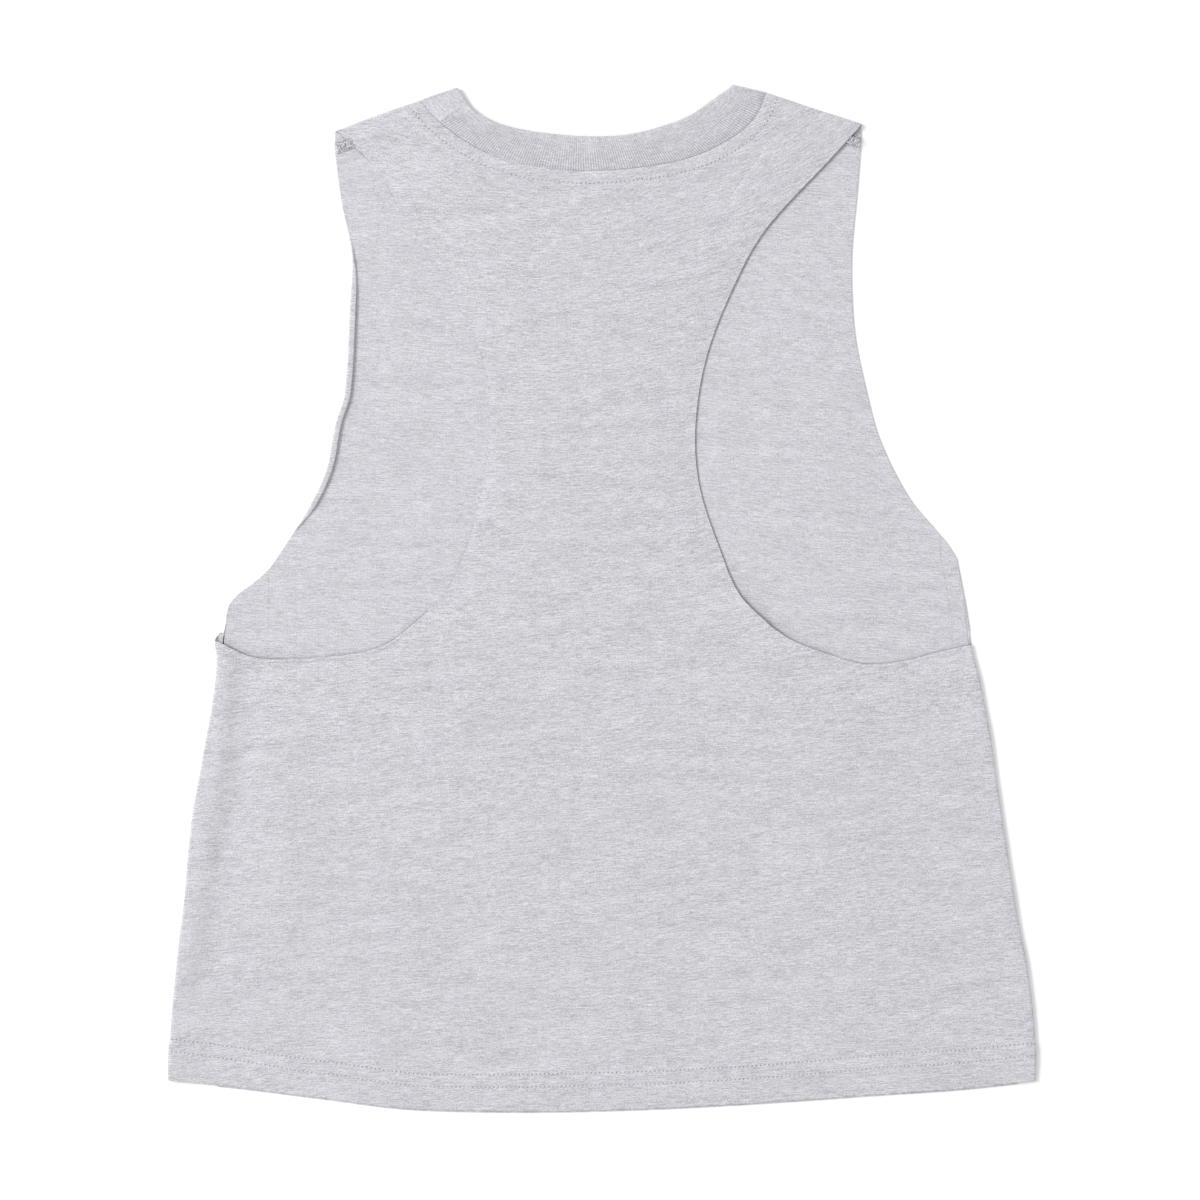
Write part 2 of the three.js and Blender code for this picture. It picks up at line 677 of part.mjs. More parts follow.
/** Height of the neckband's middle surface on the upper layer, at a share of the way from fold to fold. */
function bandHeight(share) {
  const ends = Math.abs(2 * share - 1);
  return mix(BAND_MIDDLE_HEIGHT, BAND_FOLD_HEIGHT, smooth(ends, BAND_RISE_FROM, BAND_RISE_TO));
}

/** One row across the band, from its seam to its folded edge. */
function bandRow(seam, edge, pointAt) {
  return steps(BAND_COLUMNS).map((share) => pointAt(mix(seam.x, edge.x, share), mix(seam.y, edge.y, share)));
}

function neckband() {
  const cloth = new Cloth();
  const rows = [];
  const backEdge = planCurve(BACK_NECK_EDGE);
  const frontEdge = planCurve(FRONT_NECK_EDGE);
  const turn = (seam, edge, from, to) => {
    const { out } = shoulderFold(seam, edge);
    for (const share of steps(FOLD_STEPS).slice(1, -1)) {
      const angle = mix(from, to, share);
      const pointAt = (x, y) => foldPoint(cloth, x, y, out, BAND_FOLD_HEIGHT, angle, BAND_WALL);
      rows.push(bandRow(seam, edge, pointAt));
    }
  };
  for (const share of steps(NECK_COLUMNS)) {
    const z = bandHeight(share);
    const pointAt = (x, y) => cloth.add(x, y, z, BAND_WALL, UP);
    rows.push(bandRow(backNeckSeam.getPointAt(share), backEdge.getPointAt(share), pointAt));
  }
  turn(backNeckSeam.getPointAt(1), backEdge.getPointAt(1), Math.PI / 2, -Math.PI / 2);
  for (const share of [0, ...frontNeckShares(), 1].reverse()) {
    const pointAt = (x, y) => cloth.add(x, y, BAND_WALL / 2, BAND_WALL, DOWN);
    rows.push(bandRow(frontNeckSeam.getPointAt(share), frontEdge.getPointAt(share), pointAt));
  }
  turn(backNeckSeam.getPointAt(0), backEdge.getPointAt(0), -Math.PI / 2, Math.PI / 2);
  rows.push(rows[0]);
  cloth.cover(rowsOf(rows));
  return cloth.solid();
}

const JERSEY = { color: 0xd0cfd5, roughness: 0.95, metalness: 0 };
const RIB = { color: 0xcdccd2, roughness: 0.92, metalness: 0 };

function piece(name, geometry, cloth) {
  const material = new THREE.MeshStandardMaterial(cloth);
  const mesh = new THREE.Mesh(geometry, material);
  mesh.name = name;
  return mesh;
}

const tankTop = new THREE.Group();
tankTop.add(piece("back_panel", backPanel(), JERSEY));
tankTop.add(piece("front_panel", frontPanel(), JERSEY));
tankTop.add(piece("neckband", neckband(), RIB));

export default tankTop;
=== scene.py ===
"""A cropped racerback tank top in grey marl jersey, laid flat on its front with its back up.

Sizes and places on the garment are in millimetres, and the objects made from them are in metres. +Z is up
from the surface, +Y runs from the hem to the neck, and +X is to the right as seen from above.
"""

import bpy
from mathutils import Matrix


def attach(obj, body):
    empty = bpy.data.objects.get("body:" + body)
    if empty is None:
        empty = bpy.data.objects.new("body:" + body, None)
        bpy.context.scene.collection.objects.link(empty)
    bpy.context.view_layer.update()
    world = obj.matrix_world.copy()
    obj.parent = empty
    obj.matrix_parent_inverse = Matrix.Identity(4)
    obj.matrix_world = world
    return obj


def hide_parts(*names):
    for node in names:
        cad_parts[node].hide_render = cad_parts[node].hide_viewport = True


bl_info = {
    "name": "Laid tank top",
    "version": (1, 0, 0),
    "blender": (4, 5, 0),
    "location": "3D View > Sidebar > Tank Top",
    "description": "Makes the cloth, the sewing and the stage of a racerback tank top that is laid flat",
    "category": "Add Mesh",
}

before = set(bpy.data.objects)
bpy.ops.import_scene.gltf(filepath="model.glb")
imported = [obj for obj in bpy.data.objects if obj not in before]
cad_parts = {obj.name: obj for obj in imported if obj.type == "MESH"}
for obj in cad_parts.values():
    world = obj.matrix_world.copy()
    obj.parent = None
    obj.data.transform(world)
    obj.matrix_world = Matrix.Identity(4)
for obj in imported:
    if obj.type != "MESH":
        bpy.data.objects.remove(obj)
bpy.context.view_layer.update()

import math

import bpy
import numpy as np

MM = 0.001

# The hem: where its second ply ends, and the heights of its two stitch rows above the edge.
HEM_DEPTH = 20.5
HEM_SLOPE = 0.9
HEM_STITCH_ROWS = (13.4, 19.8)

# The hem was sewn a little unevenly: how far its rows lie above their own height, as rows of x and distance.
# The divisions take this up between two heights above the hem's edge.
HEM_DRIFT = np.array([
    (-221.5, 2.6), (-190, 1.6), (-160, 0.0), (-125, 0.2), (-93, -0.8), (-70, -0.3), (-2, 0.3), (74, 0.1),
    (151, 1.2), (223, 0.6),
])
HEM_DRIFT_FROM = (3, 12)

# Thickness of the jersey and of the hem's two plies, and heights of the upper layer's middle surface.
JERSEY = 0.8
HEM_PLIES = 1.1
BACK_REST = 2.05
BACK_HEM_RISE = 0.3
BACK_SHOULDER_RISE = 0.6
SHOULDER_RISE_FROM = 125
SHOULDER_RISE_TO = 172
LEFT_SIDE_PUFF = 1.0
RIGHT_SIDE_PUFF = 0.65
SIDE_PUFF_WIDTH = 11
SIDE_PUFF_FADE_FROM = -10
SIDE_PUFF_FADE_TO = 30

# The back rises to its neck seam inside an oval round this point: full rise at one radius, none at the other.
BACK_NECK_RISE = 0.25
NECK_OVAL = {"x": -4, "y": 262, "stretch": 1.9, "full": 84, "none": 112}

# The neckband's middle surface where it folds at the shoulders, and at the middle of the back neck.
BAND_FOLD_HEIGHT = 3.05
BAND_MIDDLE_HEIGHT = 2.55
BAND_RISE_FROM = 0.35
BAND_RISE_TO = 0.95

# How far the back reaches past each fold on the lower layer, and the gap that is left at a seam.
LEFT_SIDE_TURN = 24
RIGHT_SIDE_TURN = 8
SHOULDER_TURN = 9
SEAM_GAP = 0.08

# How far a rim rounds out past a free edge, and past a seam, as a share of half the wall.
FREE_RIM = 0.8
SEAM_RIM = 0.1

# The raw edge of the front's left armhole rolls up over this stretch. A weak roll is a small one.
ROLL_RADIUS = 0.95
ROLL_SMALLEST = 0.5
ROLL_END = 1.5
ROLL_LOW = (34, 50)
ROLL_HIGH = (150, 190)

# Outermost lines of the two side folds, as rows of height, left and right.
HEM_CORNER = -251.5
SIDE_FOLDS = np.array([
    (HEM_CORNER, -225.7, 225.7), (-234, -225.2, 225.6), (-200, -222.2, 222.4), (-157, -217.4, 214.8),
    (-115, -213.2, 208.5), (-74, -206.0, 202.4), (-46, -200.9, 197.4), (-32, -199.8, 193.8),
    (-22, -201.2, 191.7), (-14, -199.3, 191.9), (6, -199.2, 188.8), (22, -199.2, 185.7),
])

# Plan points (x, y) of the hem's edge and of the low stretches of the back's raw armhole edges.
HEM_EDGE = np.array([
    (-225.7, -251.4), (-188, -255.3), (-146, -260.5), (-105, -265.7), (-63, -267.3), (-21, -267.3),
    (20, -266.2), (62, -264.2), (103, -261.6), (145, -258.6), (186, -255.8), (225.7, -251.6),
])
ARMHOLE_LEFT_LOW = np.array([
    (-199.5, -22.7), (-184.6, -29.8), (-171, -31.8), (-150, -31.2), (-124, -28), (-110, -22.8), (-97.6, -13),
])
ARMHOLE_RIGHT_LOW = np.array([
    (88, -15), (98.8, -22), (118.6, -29.6), (136.9, -34.4), (156.8, -32.8), (173.2, -28.6), (190.2, -24.6),
])

# The back's raw edges from the low stretches up to the shoulders, and the front's raw armhole edges, as rows
# of (y, x).
RACER_LEFT = np.array([
    (-13, -97.6), (2, -81.8), (20, -72.6), (36, -67.3), (69, -60.4), (92, -58.6), (114, -59.8), (135, -65.8),
    (155, -76.4), (181, -92), (201, -104.2), (223, -117), (242.5, -137.5),
])
RACER_RIGHT = np.array([
    (-15, 88), (1, 72), (22, 62.5), (57, 50.9), (88, 48.5), (125, 54.2), (162, 68.4), (192, 85.3),
    (229, 119.3), (245.3, 134.2),
])
FRONT_ARMHOLE_LEFT = np.array([
    (15, -172.8), (30, -162.8), (48, -151.8), (67, -143.2), (90, -138.7), (106, -133.8), (150, -131.2),
    (179, -130), (206, -135.2), (232, -138.7),
])
FRONT_ARMHOLE_RIGHT = np.array([
    (33, 175.6), (52, 159.8), (82, 144.6), (110, 136.9), (136, 131.6), (160, 129.8), (182, 129.9),
    (211, 132.6), (237, 134.7),
])

# Where the back's turned-under edge ends above each side fold, as (distance in from the fold, height).
# The drops say how soon the fold's end falls from the lower layer's height to the upper one's.
UNDERARM_DROP_LEFT = 2.5
UNDERARM_DROP_RIGHT = 9
UNDERARM_LEFT = np.array([
    (0, -18.2), (1.9, -18.6), (2.2, -8), (3.1, -4.6), (5.3, -1.2), (8, 1.6), (12, 4.6), (16, 7.4), (20, 10.8),
    (LEFT_SIDE_TURN, 14.6),
])
UNDERARM_RIGHT = np.array([(0, 20.5), (2, 24.4), (4, 27.4), (6, 30.1), (RIGHT_SIDE_TURN, 32.4)])

# Neck seam and folded band edge on the upper layer, from the left shoulder fold to the right, as (x, y).
BACK_NECK_SEAM = np.array([
    (-93.4, 257.6), (-86.9, 249.9), (-71, 237.5), (-51.1, 228), (-22.3, 222.8), (10, 222.8), (47.2, 229.4),
    (69.4, 240.5), (80, 250.5), (84.8, 261.3),
])
BACK_NECK_EDGE = np.array([
    (-74.4, 264), (-68.1, 254.9), (-54.1, 246.9), (-22.3, 241), (10, 240.6), (31.2, 245.3), (46.1, 251.1),
    (59.5, 260.4), (66.9, 265.4),
])
FRONT_NECK_SEAM = np.array([
    (-93.4, 257.6), (-90.4, 249.1), (-85.5, 230), (-74, 204), (-50, 181), (-4, 171), (42, 182), (66, 205),
    (77.5, 231), (81.95, 252.6), (84.8, 261.3),
])
FRONT_NECK_EDGE = np.array([
    (-74.4, 264), (-71.6, 255.4), (-67.5, 236), (-58, 214.5), (-38.5, 197.5), (-4, 189.2), (30.5, 198),
    (50, 215), (59.5, 237), (64.4, 256.6), (66.9, 265.4),
])

# Soft forms of each layer: a ridge or trough between two plan points, as (x, y, x, y, radius, height).
BACK_FORMS = [
    (72, 0, 88, -22, 11, 0.9),
    (75, -1, 84, -13, 4, 1.0),
    (84, -12, 112, -28, 5, 0.6),
    (-196, -34, -198, -81, 5, 1.2),
    (-198, -81, -206, -132, 5, 1.1),
    (-206, -132, -213, -190, 5, 0.8),
    (-184, -38, -187, -81, 6, -0.7),
    (-187, -81, -195, -132, 6, -0.6),
    (-195, -132, -202, -190, 7, -0.45),
    (-166, -64, -172, -180, 13, 0.6),
    (-84, 4, -86, -44, 6, -0.4),
    (-127, 237.4, -110, 243.2, 4, 0.55),
    (-196, -26, -170, -33, 3.5, 1.0),
    (-62, -40, -112, -215, 24, 0.6),
    (96, -60, 150, -222, 26, 0.65),
    (30, -90, 22, -240, 22, 0.4),
    (120, -52, 186, -66, 10, 0.35),
    (128, -47, 184, -37, 4, -0.2),
    (-96, -19, -51, 54, 8, 0.5),
    (-176, -40, -150, -58, 7, -0.3),
    (-150, -44, -100, -62, 9, 0.3),
    (-120, -232, -60, -236, 16, 0.3),
    (40, -236, 120, -228, 18, 0.3),
    (-30, 120, -22, 30, 12, 0.25),
    (24, 150, 30, 60, 12, 0.2),
    (-100, 205, -70, 190, 10, -0.25),
    (84, 214, 108, 232, 8, 0.3),
    (-206, -215, -214, -244, 8, 0.35),
    (204, -210, 213, -244, 8, 0.3),
]
FRONT_FORMS = [
    (-150, 20, -120, 60, 12, 0.4),
    (-112, 90, -104, 160, 13, 0.45),
    (-90, 10, -84, 50, 10, 0.35),
    (-120, 180, -108, 215, 10, 0.35),
    (90, 40, 120, 90, 14, 0.45),
    (112, 120, 108, 180, 12, 0.4),
    (140, 0, 120, 40, 11, 0.35),
    (84, 130, 96, 170, 9, 0.3),
]

# How far down the back's raw edges lie, from 0 for its own height to 1 on the lower layer: on the low
# stretches as rows of x and share, and up the racer's two sides as rows of y and share. By the side folds the
# edges come up again between two distances from the fold. The racer's left side also thins out.
EDGE_DOWN_LOW = np.array([
    (-199, 0.0), (-166, 0.1), (-150, 0.5), (-120, 0.6), (-98, 0.9), (88, 0.45), (118, 0.5), (140, 0.6),
    (190, 0.7),
])
EDGE_DOWN_LEFT = np.array([(-14, 0.9), (0, 0.98), (203, 0.98), (211, 0.5), (218, 0.98), (243, 0.98)])
EDGE_DOWN_RIGHT = np.array([
    (-16, 0.45), (0, 0.65), (34, 0.75), (90, 0.72), (180, 0.72), (226, 0.5), (245, 0.2),
])
EDGE_DOWN_WIDTH = 6.0
EDGE_DOWN_WIDTH_LEFT = 16.0
EDGE_DOWN_BY_FOLD = (2, 16)
RACER_FROM = (-14, 4)
EDGE_THIN = 0.6
EDGE_THIN_WIDTH = 3.5
LAYER_CLEARANCE = 0.04

# Above this height the upper layer's cut edges get painted shade, a darker copy of the jersey, except between
# two heights at the left.
CUT_EDGES_ABOVE = -60
QUIET_EDGE = (-6, 229)
CUT_EDGE_SHADE = 0.42

# Slight unevenness all over the upper layer, as rows of wave length, direction in degrees, phase and height.
RIPPLES = (
    (41, 22, 0.3, 0.17), (29, 104, 1.9, 0.13), (23, 152, 4.0, 0.09), (33, 66, 5.1, 0.13), (17, 37, 2.2, 0.05),
    (57, 128, 3.1, 0.2),
)

# On its low stretches, given as (from x, to x), a raw edge curls into a lip that ends between two heights.
LIP_STRETCHES = ((-172, -100), (100, 192))
LIP_FADE = 8.0
LIP_ENDS = (-20, -4)

# The back neck's cover stitch runs this far from the seam.
NECK_STITCH_OUT = 6.5

# Ridges and troughs as rows of place, width and height: out from a raw edge, up from the base of the hem's
# stitch rows, and out from the neck seam.
LIP_RELIEF = ((0.9, 0.55, 0.45), (2.3, 0.6, -0.16))
HEM_RELIEF = (*((row, 0.6, -0.14) for row in HEM_STITCH_ROWS), (16.6, 1.8, 0.14), (23, 2, 0.08))
NECK_RELIEF = ((NECK_STITCH_OUT, 0.6, -0.16), (3.4, 1.7, 0.16))

# The hem's edge and the neck seam round down, over a width and by a depth. Between two places across, the
# neck seam's depth is eased by a share.
HEM_EDGE_WIDTH = 7
NECK_SEAM_WIDTH = 0.7
ROUND_DEPTH = 0.5
NECK_SEAM_EASED = (45, 72)
NECK_SEAM_EASE = 0.7

# The needle holes: their size, and the painted shade in them: how dark it gets, and its colour.
HOLE_RADIUS = 0.58
HOLE_SHADE_DARKEST = 0.7
HOLE_SHADE_COLOR = (0.13, 0.13, 0.15, 1)

# How far a stitch stands up from the cloth between its two holes.
STITCH_RISE = 0.2

# The shoulder seams' overlocked allowances: how far past the back's turned-under end they are centred, and
# their sizes. The overlock stands up where it shows at the tips, and lies flat past the second distance.
OVERLOCK_BELOW = 0.5
OVERLOCK_LENGTH = 27.0
OVERLOCK_WIDTH = 4.6
OVERLOCK_PITCH = 1.1
OVERLOCK_RISE = 0.95
OVERLOCK_SHOWS = (8, 12)
ALLOWANCE_WALL = 0.35

# In the seam map, the neck seam counts down from this value, and both seams end at the lower one. The map
# follows the hem below a height, and the neck seam above it.
NECK_MARK = 100
NO_SEAM_MARK = 60
NECK_MAP_FROM = 150

# Where the band's ends are joined, and the soft trough beside it, as plan points (x, y).
BAND_JOIN = ((-84.2, 248.0), (-74.9, 254.3))
BAND_TROUGH = ((-76, 258), (-61, 243))

# The relief of the join and the trough as width and height, the depth of the band's ribs, how deep they are
# at shares of the way from the seam to the folded edge, and the band's length in its turn at a shoulder.
BAND_JOIN_RELIEF = (0.9, 0.6)
BAND_TROUGH_RELIEF = (2.4, -0.4)
RIB_DEPTH = 0.16
RIB_FADE = ((0, 0.04, 0.5, 0.95, 1), (0, 1, 0.75, 0.5, 0.2))
BAND_TURN = 4

# Divisions of the pieces, in millimetres from an edge or as shares of a width.
HEM_ROWS = np.array([
    1.0, 1.4, 2.1, 3.3, 5.5, 8, 10.5, 12.2, 12.8, 13.1, 13.4, 13.7, 14, 14.8, 16.2, 17.8, 18.8, 19.3, 19.6,
    19.9, 20.2, 20.6, 21.4, 23, 25.5,
])
EDGE_ROWS = np.array([5, 3.6, 2.5, 1.8, 1.3, 0.9, 0.5, 0.2, 0])
EDGE_SHARES = np.array([0, 0.0012, 0.003, 0.005, 0.0075, 0.0105, 0.014, 0.019, 0.026])
YOKE_DEPTH = 14.0
YOKE_ROWS = np.array([14, 11.5, 9.4, 8, 7.3, 6.9, 6.6, 6.4, 6.1, 5.7, 4.9, 3.8, 2.8, 1.9, 1.2, 0.7, 0.3, 0])
YOKE_PARTS = 26
NECK_FROM = 3 / YOKE_PARTS
CELL = 3.0
SEAM_CELL = 0.15
FOLD_STEPS = 12
BAND_FOLD_STEPS = 14
BACK_RIB_POINTS = 6
FRONT_RIB_POINTS = 4
ROLL_STEPS = 16
ROLL_PARTS = 9
RIM_STEPS = 3

# Lengths that count the rows of cells in the back's lower part, in its racer, and in the front's upper part.
LOW_LENGTH = 205
RACER_LENGTH = 240
FRONT_UPPER_LENGTH = 215

# How many plan places are measured against a line at once.
AT_ONCE = 4000

# Size of a knitted loop: across a wale, and along it. The courses' rise is worked out on a grid of places.
WALE = 0.85
COURSE = 0.62
COURSE_GRID_X = np.arange(-244.0, 245, 4)
COURSE_GRID_Y = np.arange(-284.0, 285, 8)

# Flecks of the marl: how long and how wide each sort is, and how strong.
JERSEY_MARL = (
    (11.0, 0.9, 0.8), (5.5, 0.55, 1.3), (2.4, 0.5, 1.15), (0.8, 0.6, 1.8), (9.0, 4.0, 0.3), (40.0, 7.0, 0.45),
)
RIB_MARL = ((5.0, 0.9, 0.9), (2.0, 0.7, 0.9), (0.8, 0.7, 1.6), (9.0, 5.0, 0.5))
REVERSE_SOFTER = 0.07

# Length of one twist of the thread, in metres.
THREAD_TWIST = 0.0004

# The stage, in metres: the middle of the view, the lamp's place and width, and the board's half width and
# how far it lies under the garment.
VIEW_MIDDLE = (-0.00104, -0.00104)
LAMP_PLACE = (-3.3, 1.15, 3.55)
LAMP_WIDTH = 1.9
BOARD_HALF = 6.0
BOARD_DROP = 0.00005


def mix(a, b, share):
    return a + (b - a) * share


def smooth(value, low, high):
    """0 below low, 1 above high, and a smooth way in between."""
    share = np.clip((value - low) / (high - low), 0, 1)
    return share * share * (3 - 2 * share)


def bump(distance, width):
    return np.exp(-((distance / width) ** 2))


def relief(rows, at):
    """Height of ridges and troughs, from rows of place, width and height."""
    return sum(rise * bump(at - place, width) for place, width, rise in rows)


def through(table, column=1):
    """A smooth function through a column of a table, for a number or an array in its rising first column."""
    keys, values = table[:, 0], table[:, column]
    last = len(keys) - 1
    before = np.maximum(np.arange(last + 1) - 1, 0)
    after = np.minimum(np.arange(last + 1) + 1, last)
    slope = (values[after] - values[before]) / (keys[after] - keys[before])

    def value_at(at):
        i = np.clip(np.searchsorted(keys, at), 1, last)
        gap = keys[i] - keys[i - 1]
        t = np.clip((at - keys[i - 1]) / gap, 0, 1)
        pull = slope[i - 1] * t * (1 - t) ** 2 - slope[i] * t * t * (1 - t)
        return mix(values[i - 1], values[i], t * t * (3 - 2 * t)) + gap * pull

    return value_at


def curve_points(points, parts=24):
    """Plan points along a centripetal Catmull-Rom curve through the given ones."""
    ends = (2 * points[0] - points[1], 2 * points[-1] - points[-2])
    all_points = np.vstack([ends[0], points, ends[1]])
    found = []
    for p0, p1, p2, p3 in zip(all_points, all_points[1:], all_points[2:], all_points[3:]):
        gap0, gap1, gap2 = (math.sqrt(math.dist(a, b)) for a, b in ((p0, p1), (p1, p2), (p2, p3)))
        pull1 = ((p1 - p0) / gap0 - (p2 - p0) / (gap0 + gap1) + (p2 - p1) / gap1) * gap1
        pull2 = ((p2 - p1) / gap1 - (p3 - p1) / (gap1 + gap2) + (p3 - p2) / gap2) * gap1
        t = (np.arange(parts) / parts)[:, None]
        cube, square = t**3, t**2
        found.append(
            (2 * cube - 3 * square + 1) * p1 + (cube - 2 * square + t) * pull1
            + (3 * square - 2 * cube) * p2 + (cube - square) * pull2
        )
    return np.vstack([*found, points[-1:]])


class Route:
    """A plan line, measured along its length."""

    def __init__(self, points):
        self.points = np.asarray(points, float)
        self.marks = np.concatenate([[0], np.cumsum(np.hypot(*np.diff(self.points, axis=0).T))])
        self.length = self.marks[-1]

    def at(self, share):
        mark = np.asarray(share) * self.length
        return np.stack([np.interp(mark, self.marks, self.points[:, k]) for k in (0, 1)], axis=-1)

    def direction(self, share):
        share = np.asarray(share, float)
        step = 0.4 / self.length
        way = self.at(np.minimum(share + step, 1)) - self.at(np.maximum(share - step, 0))
        return way / np.linalg.norm(way, axis=-1, keepdims=True)

    def beside(self, share, distance):
        """Points at shares of the length, moved to the right of the line's direction."""
        way = self.direction(share)
        return self.at(share) + np.stack([way[..., 1], -way[..., 0]], axis=-1) * distance

    def near(self, x, y):
        """Distance from plan places to the line, and the mark of the nearest point on it."""
        places = np.stack(np.broadcast_arrays(x, y), axis=-1).reshape(-1, 2)
        start, way = self.points[:-1], np.diff(self.points, axis=0)
        square = (way**2).sum(axis=1)
        distance, mark = np.empty(len(places)), np.empty(len(places))
        for low in range(0, len(places), AT_ONCE):
            part = slice(low, low + AT_ONCE)
            off = places[part, None, :] - start
            share = np.clip((off * way).sum(axis=2) / square, 0, 1)
            away = np.linalg.norm(off - share[..., None] * way, axis=2)
            best = away.argmin(axis=1)
            row = np.arange(len(best))
            distance[part] = away[row, best]
            mark[part] = self.marks[best] + share[row, best] * np.sqrt(square[best])
        shape = np.broadcast(x, y).shape
        return distance.reshape(shape), mark.reshape(shape)


hem_height = through(HEM_EDGE)
left_fold = through(SIDE_FOLDS)
right_fold = through(SIDE_FOLDS, 2)
low_left = through(ARMHOLE_LEFT_LOW)
low_right = through(ARMHOLE_RIGHT_LOW)
racer_left = through(RACER_LEFT)
racer_right = through(RACER_RIGHT)
front_armhole_left = through(FRONT_ARMHOLE_LEFT)
front_armhole_right = through(FRONT_ARMHOLE_RIGHT)

back_neck_seam = Route(curve_points(BACK_NECK_SEAM))
back_neck_edge = Route(curve_points(BACK_NECK_EDGE))
front_neck_seam = Route(curve_points(FRONT_NECK_SEAM))
front_neck_edge = Route(curve_points(FRONT_NECK_EDGE))


def edge_route(low_table, low, racer_table, racer, low_first):
    """The whole raw edge of one of the back's armholes, as a plan line."""
    x = np.linspace(low_table[0, 0], low_table[-1, 0], 60)
    y = np.linspace(racer_table[0, 0], racer_table[-1, 0], 110)
    low_part = np.stack([x, low(x)], axis=1)
    racer_part = np.stack([racer(y), y], axis=1)
    if low_first:
        return Route(np.vstack([low_part[:-1], racer_part]))
    return Route(np.vstack([racer_part[::-1], low_part[1:]]))


LEFT_RAW_EDGE = edge_route(ARMHOLE_LEFT_LOW, low_left, RACER_LEFT, racer_left, True)
RIGHT_RAW_EDGE = edge_route(ARMHOLE_RIGHT_LOW, low_right, RACER_RIGHT, racer_right, False)


def shoulder_fold(tip, neck):
    """One shoulder fold: the ends of the plan line that it is centred on, and the direction out of it."""
    tip, neck = np.asarray(tip, float), np.asarray(neck, float)
    out = np.array([tip[1] - neck[1], neck[0] - tip[0]])
    out /= np.linalg.norm(out)
    return {"tip": tip, "neck": neck, "out": out if out[1] > 0 else -out}


LEFT_SHOULDER = shoulder_fold(RACER_LEFT[-1, ::-1], back_neck_seam.beside(0.0, SEAM_GAP))
RIGHT_SHOULDER = shoulder_fold(RACER_RIGHT[-1, ::-1], back_neck_seam.beside(1.0, SEAM_GAP))


def below_tip(fold, armhole, distance):
    """The plan point of a raw edge that lies a distance below its shoulder fold's tip."""
    y = fold["tip"][1] - fold["out"][1] * distance
    return np.array([armhole(y), y])


def fold_reach(upper, wall):
    """How far a fold reaches past the line that it is centred on."""
    return (upper - wall / 2) / 2 + wall / 2


def hem_drift(x):
    return np.interp(x, *HEM_DRIFT.T)


def stitch_base(x):
    """The height that the hem's stitch rows are measured from."""
    return hem_height(x) + hem_drift(x)


def hem_share(x, y):
    """The share of the hem's second ply that is left at a plan place."""
    return 1 - smooth(y - hem_height(x), HEM_DEPTH - HEM_SLOPE, HEM_DEPTH + HEM_SLOPE)


def forms_height(forms, x, y):
    """Height that soft forms add at plan places."""
    height = np.zeros(np.broadcast(x, y).shape)
    for x1, y1, x2, y2, radius, rise in forms:
        dx, dy = x2 - x1, y2 - y1
        share = np.clip(((x - x1) * dx + (y - y1) * dy) / (dx * dx + dy * dy), 0, 1)
        height += rise * bump(np.hypot(x - x1 - share * dx, y - y1 - share * dy), radius)
    return height


def edge_down(x, y):
    """How far down the back lies by its raw edges, from 0 for its own height to 1 on the lower layer."""
    left, right = LEFT_RAW_EDGE.near(x, y)[0], RIGHT_RAW_EDGE.near(x, y)[0]
    low, left_side, right_side = (
        np.interp(at, *table.T)
        for at, table in ((x, EDGE_DOWN_LOW), (y, EDGE_DOWN_LEFT), (y, EDGE_DOWN_RIGHT))
    )
    down = mix(low, np.where(left < right, left_side, right_side), smooth(y, *RACER_FROM))
    by_fold = np.minimum(x - left_fold(y), right_fold(y) - x)
    left_width = mix(EDGE_DOWN_WIDTH, EDGE_DOWN_WIDTH_LEFT, smooth(y, *RACER_FROM))
    width = np.where(left < right, left_width, EDGE_DOWN_WIDTH)
    return down * bump(np.minimum(left, right), width) * smooth(by_fold, *EDGE_DOWN_BY_FOLD)


def edge_thinness(x, y):
    """The share of its wall that the back keeps towards the racer's left edge."""
    return 1 - EDGE_THIN * bump(LEFT_RAW_EDGE.near(x, y)[0], EDGE_THIN_WIDTH) * smooth(y, *RACER_FROM)


def ripple_height(x, y):
    """The slight unevenness of laid cloth."""
    height = 0
    for length, degrees, phase, rise in RIPPLES:
        way = x * math.cos(math.radians(degrees)) + y * math.sin(math.radians(degrees))
        height = height + rise / 2 * np.sin(2 * math.pi * way / length + phase)
    return height


def lip_height(x, y):
    """The curl along the low stretches of the raw edges, and the trough behind it."""
    away = np.minimum(LEFT_RAW_EDGE.near(x, y)[0], RIGHT_RAW_EDGE.near(x, y)[0])
    low = sum(
        smooth(x, start, start + LIP_FADE) * (1 - smooth(x, end - LIP_FADE, end))
        for start, end in LIP_STRETCHES
    )
    return low * (1 - smooth(y, *LIP_ENDS)) * relief(LIP_RELIEF, away)


def sewing_height(x, y):
    """How the hem's and the neck's stitching draws the back in, and how its hem and neck seam round down."""
    hem = relief(HEM_RELIEF, y - stitch_base(x)) - ROUND_DEPTH * bump(y - hem_height(x), HEM_EDGE_WIDTH)
    away, _ = back_neck_seam.near(x, y)
    depth = ROUND_DEPTH * (1 - NECK_SEAM_EASE * smooth(x, *NECK_SEAM_EASED))
    return hem + relief(NECK_RELIEF, away) - depth * bump(away, NECK_SEAM_WIDTH)


def front_rise(x, y):
    """Height that the lower layer stands off the surface it lies on."""
    return np.maximum(forms_height(FRONT_FORMS, x, y), 0)


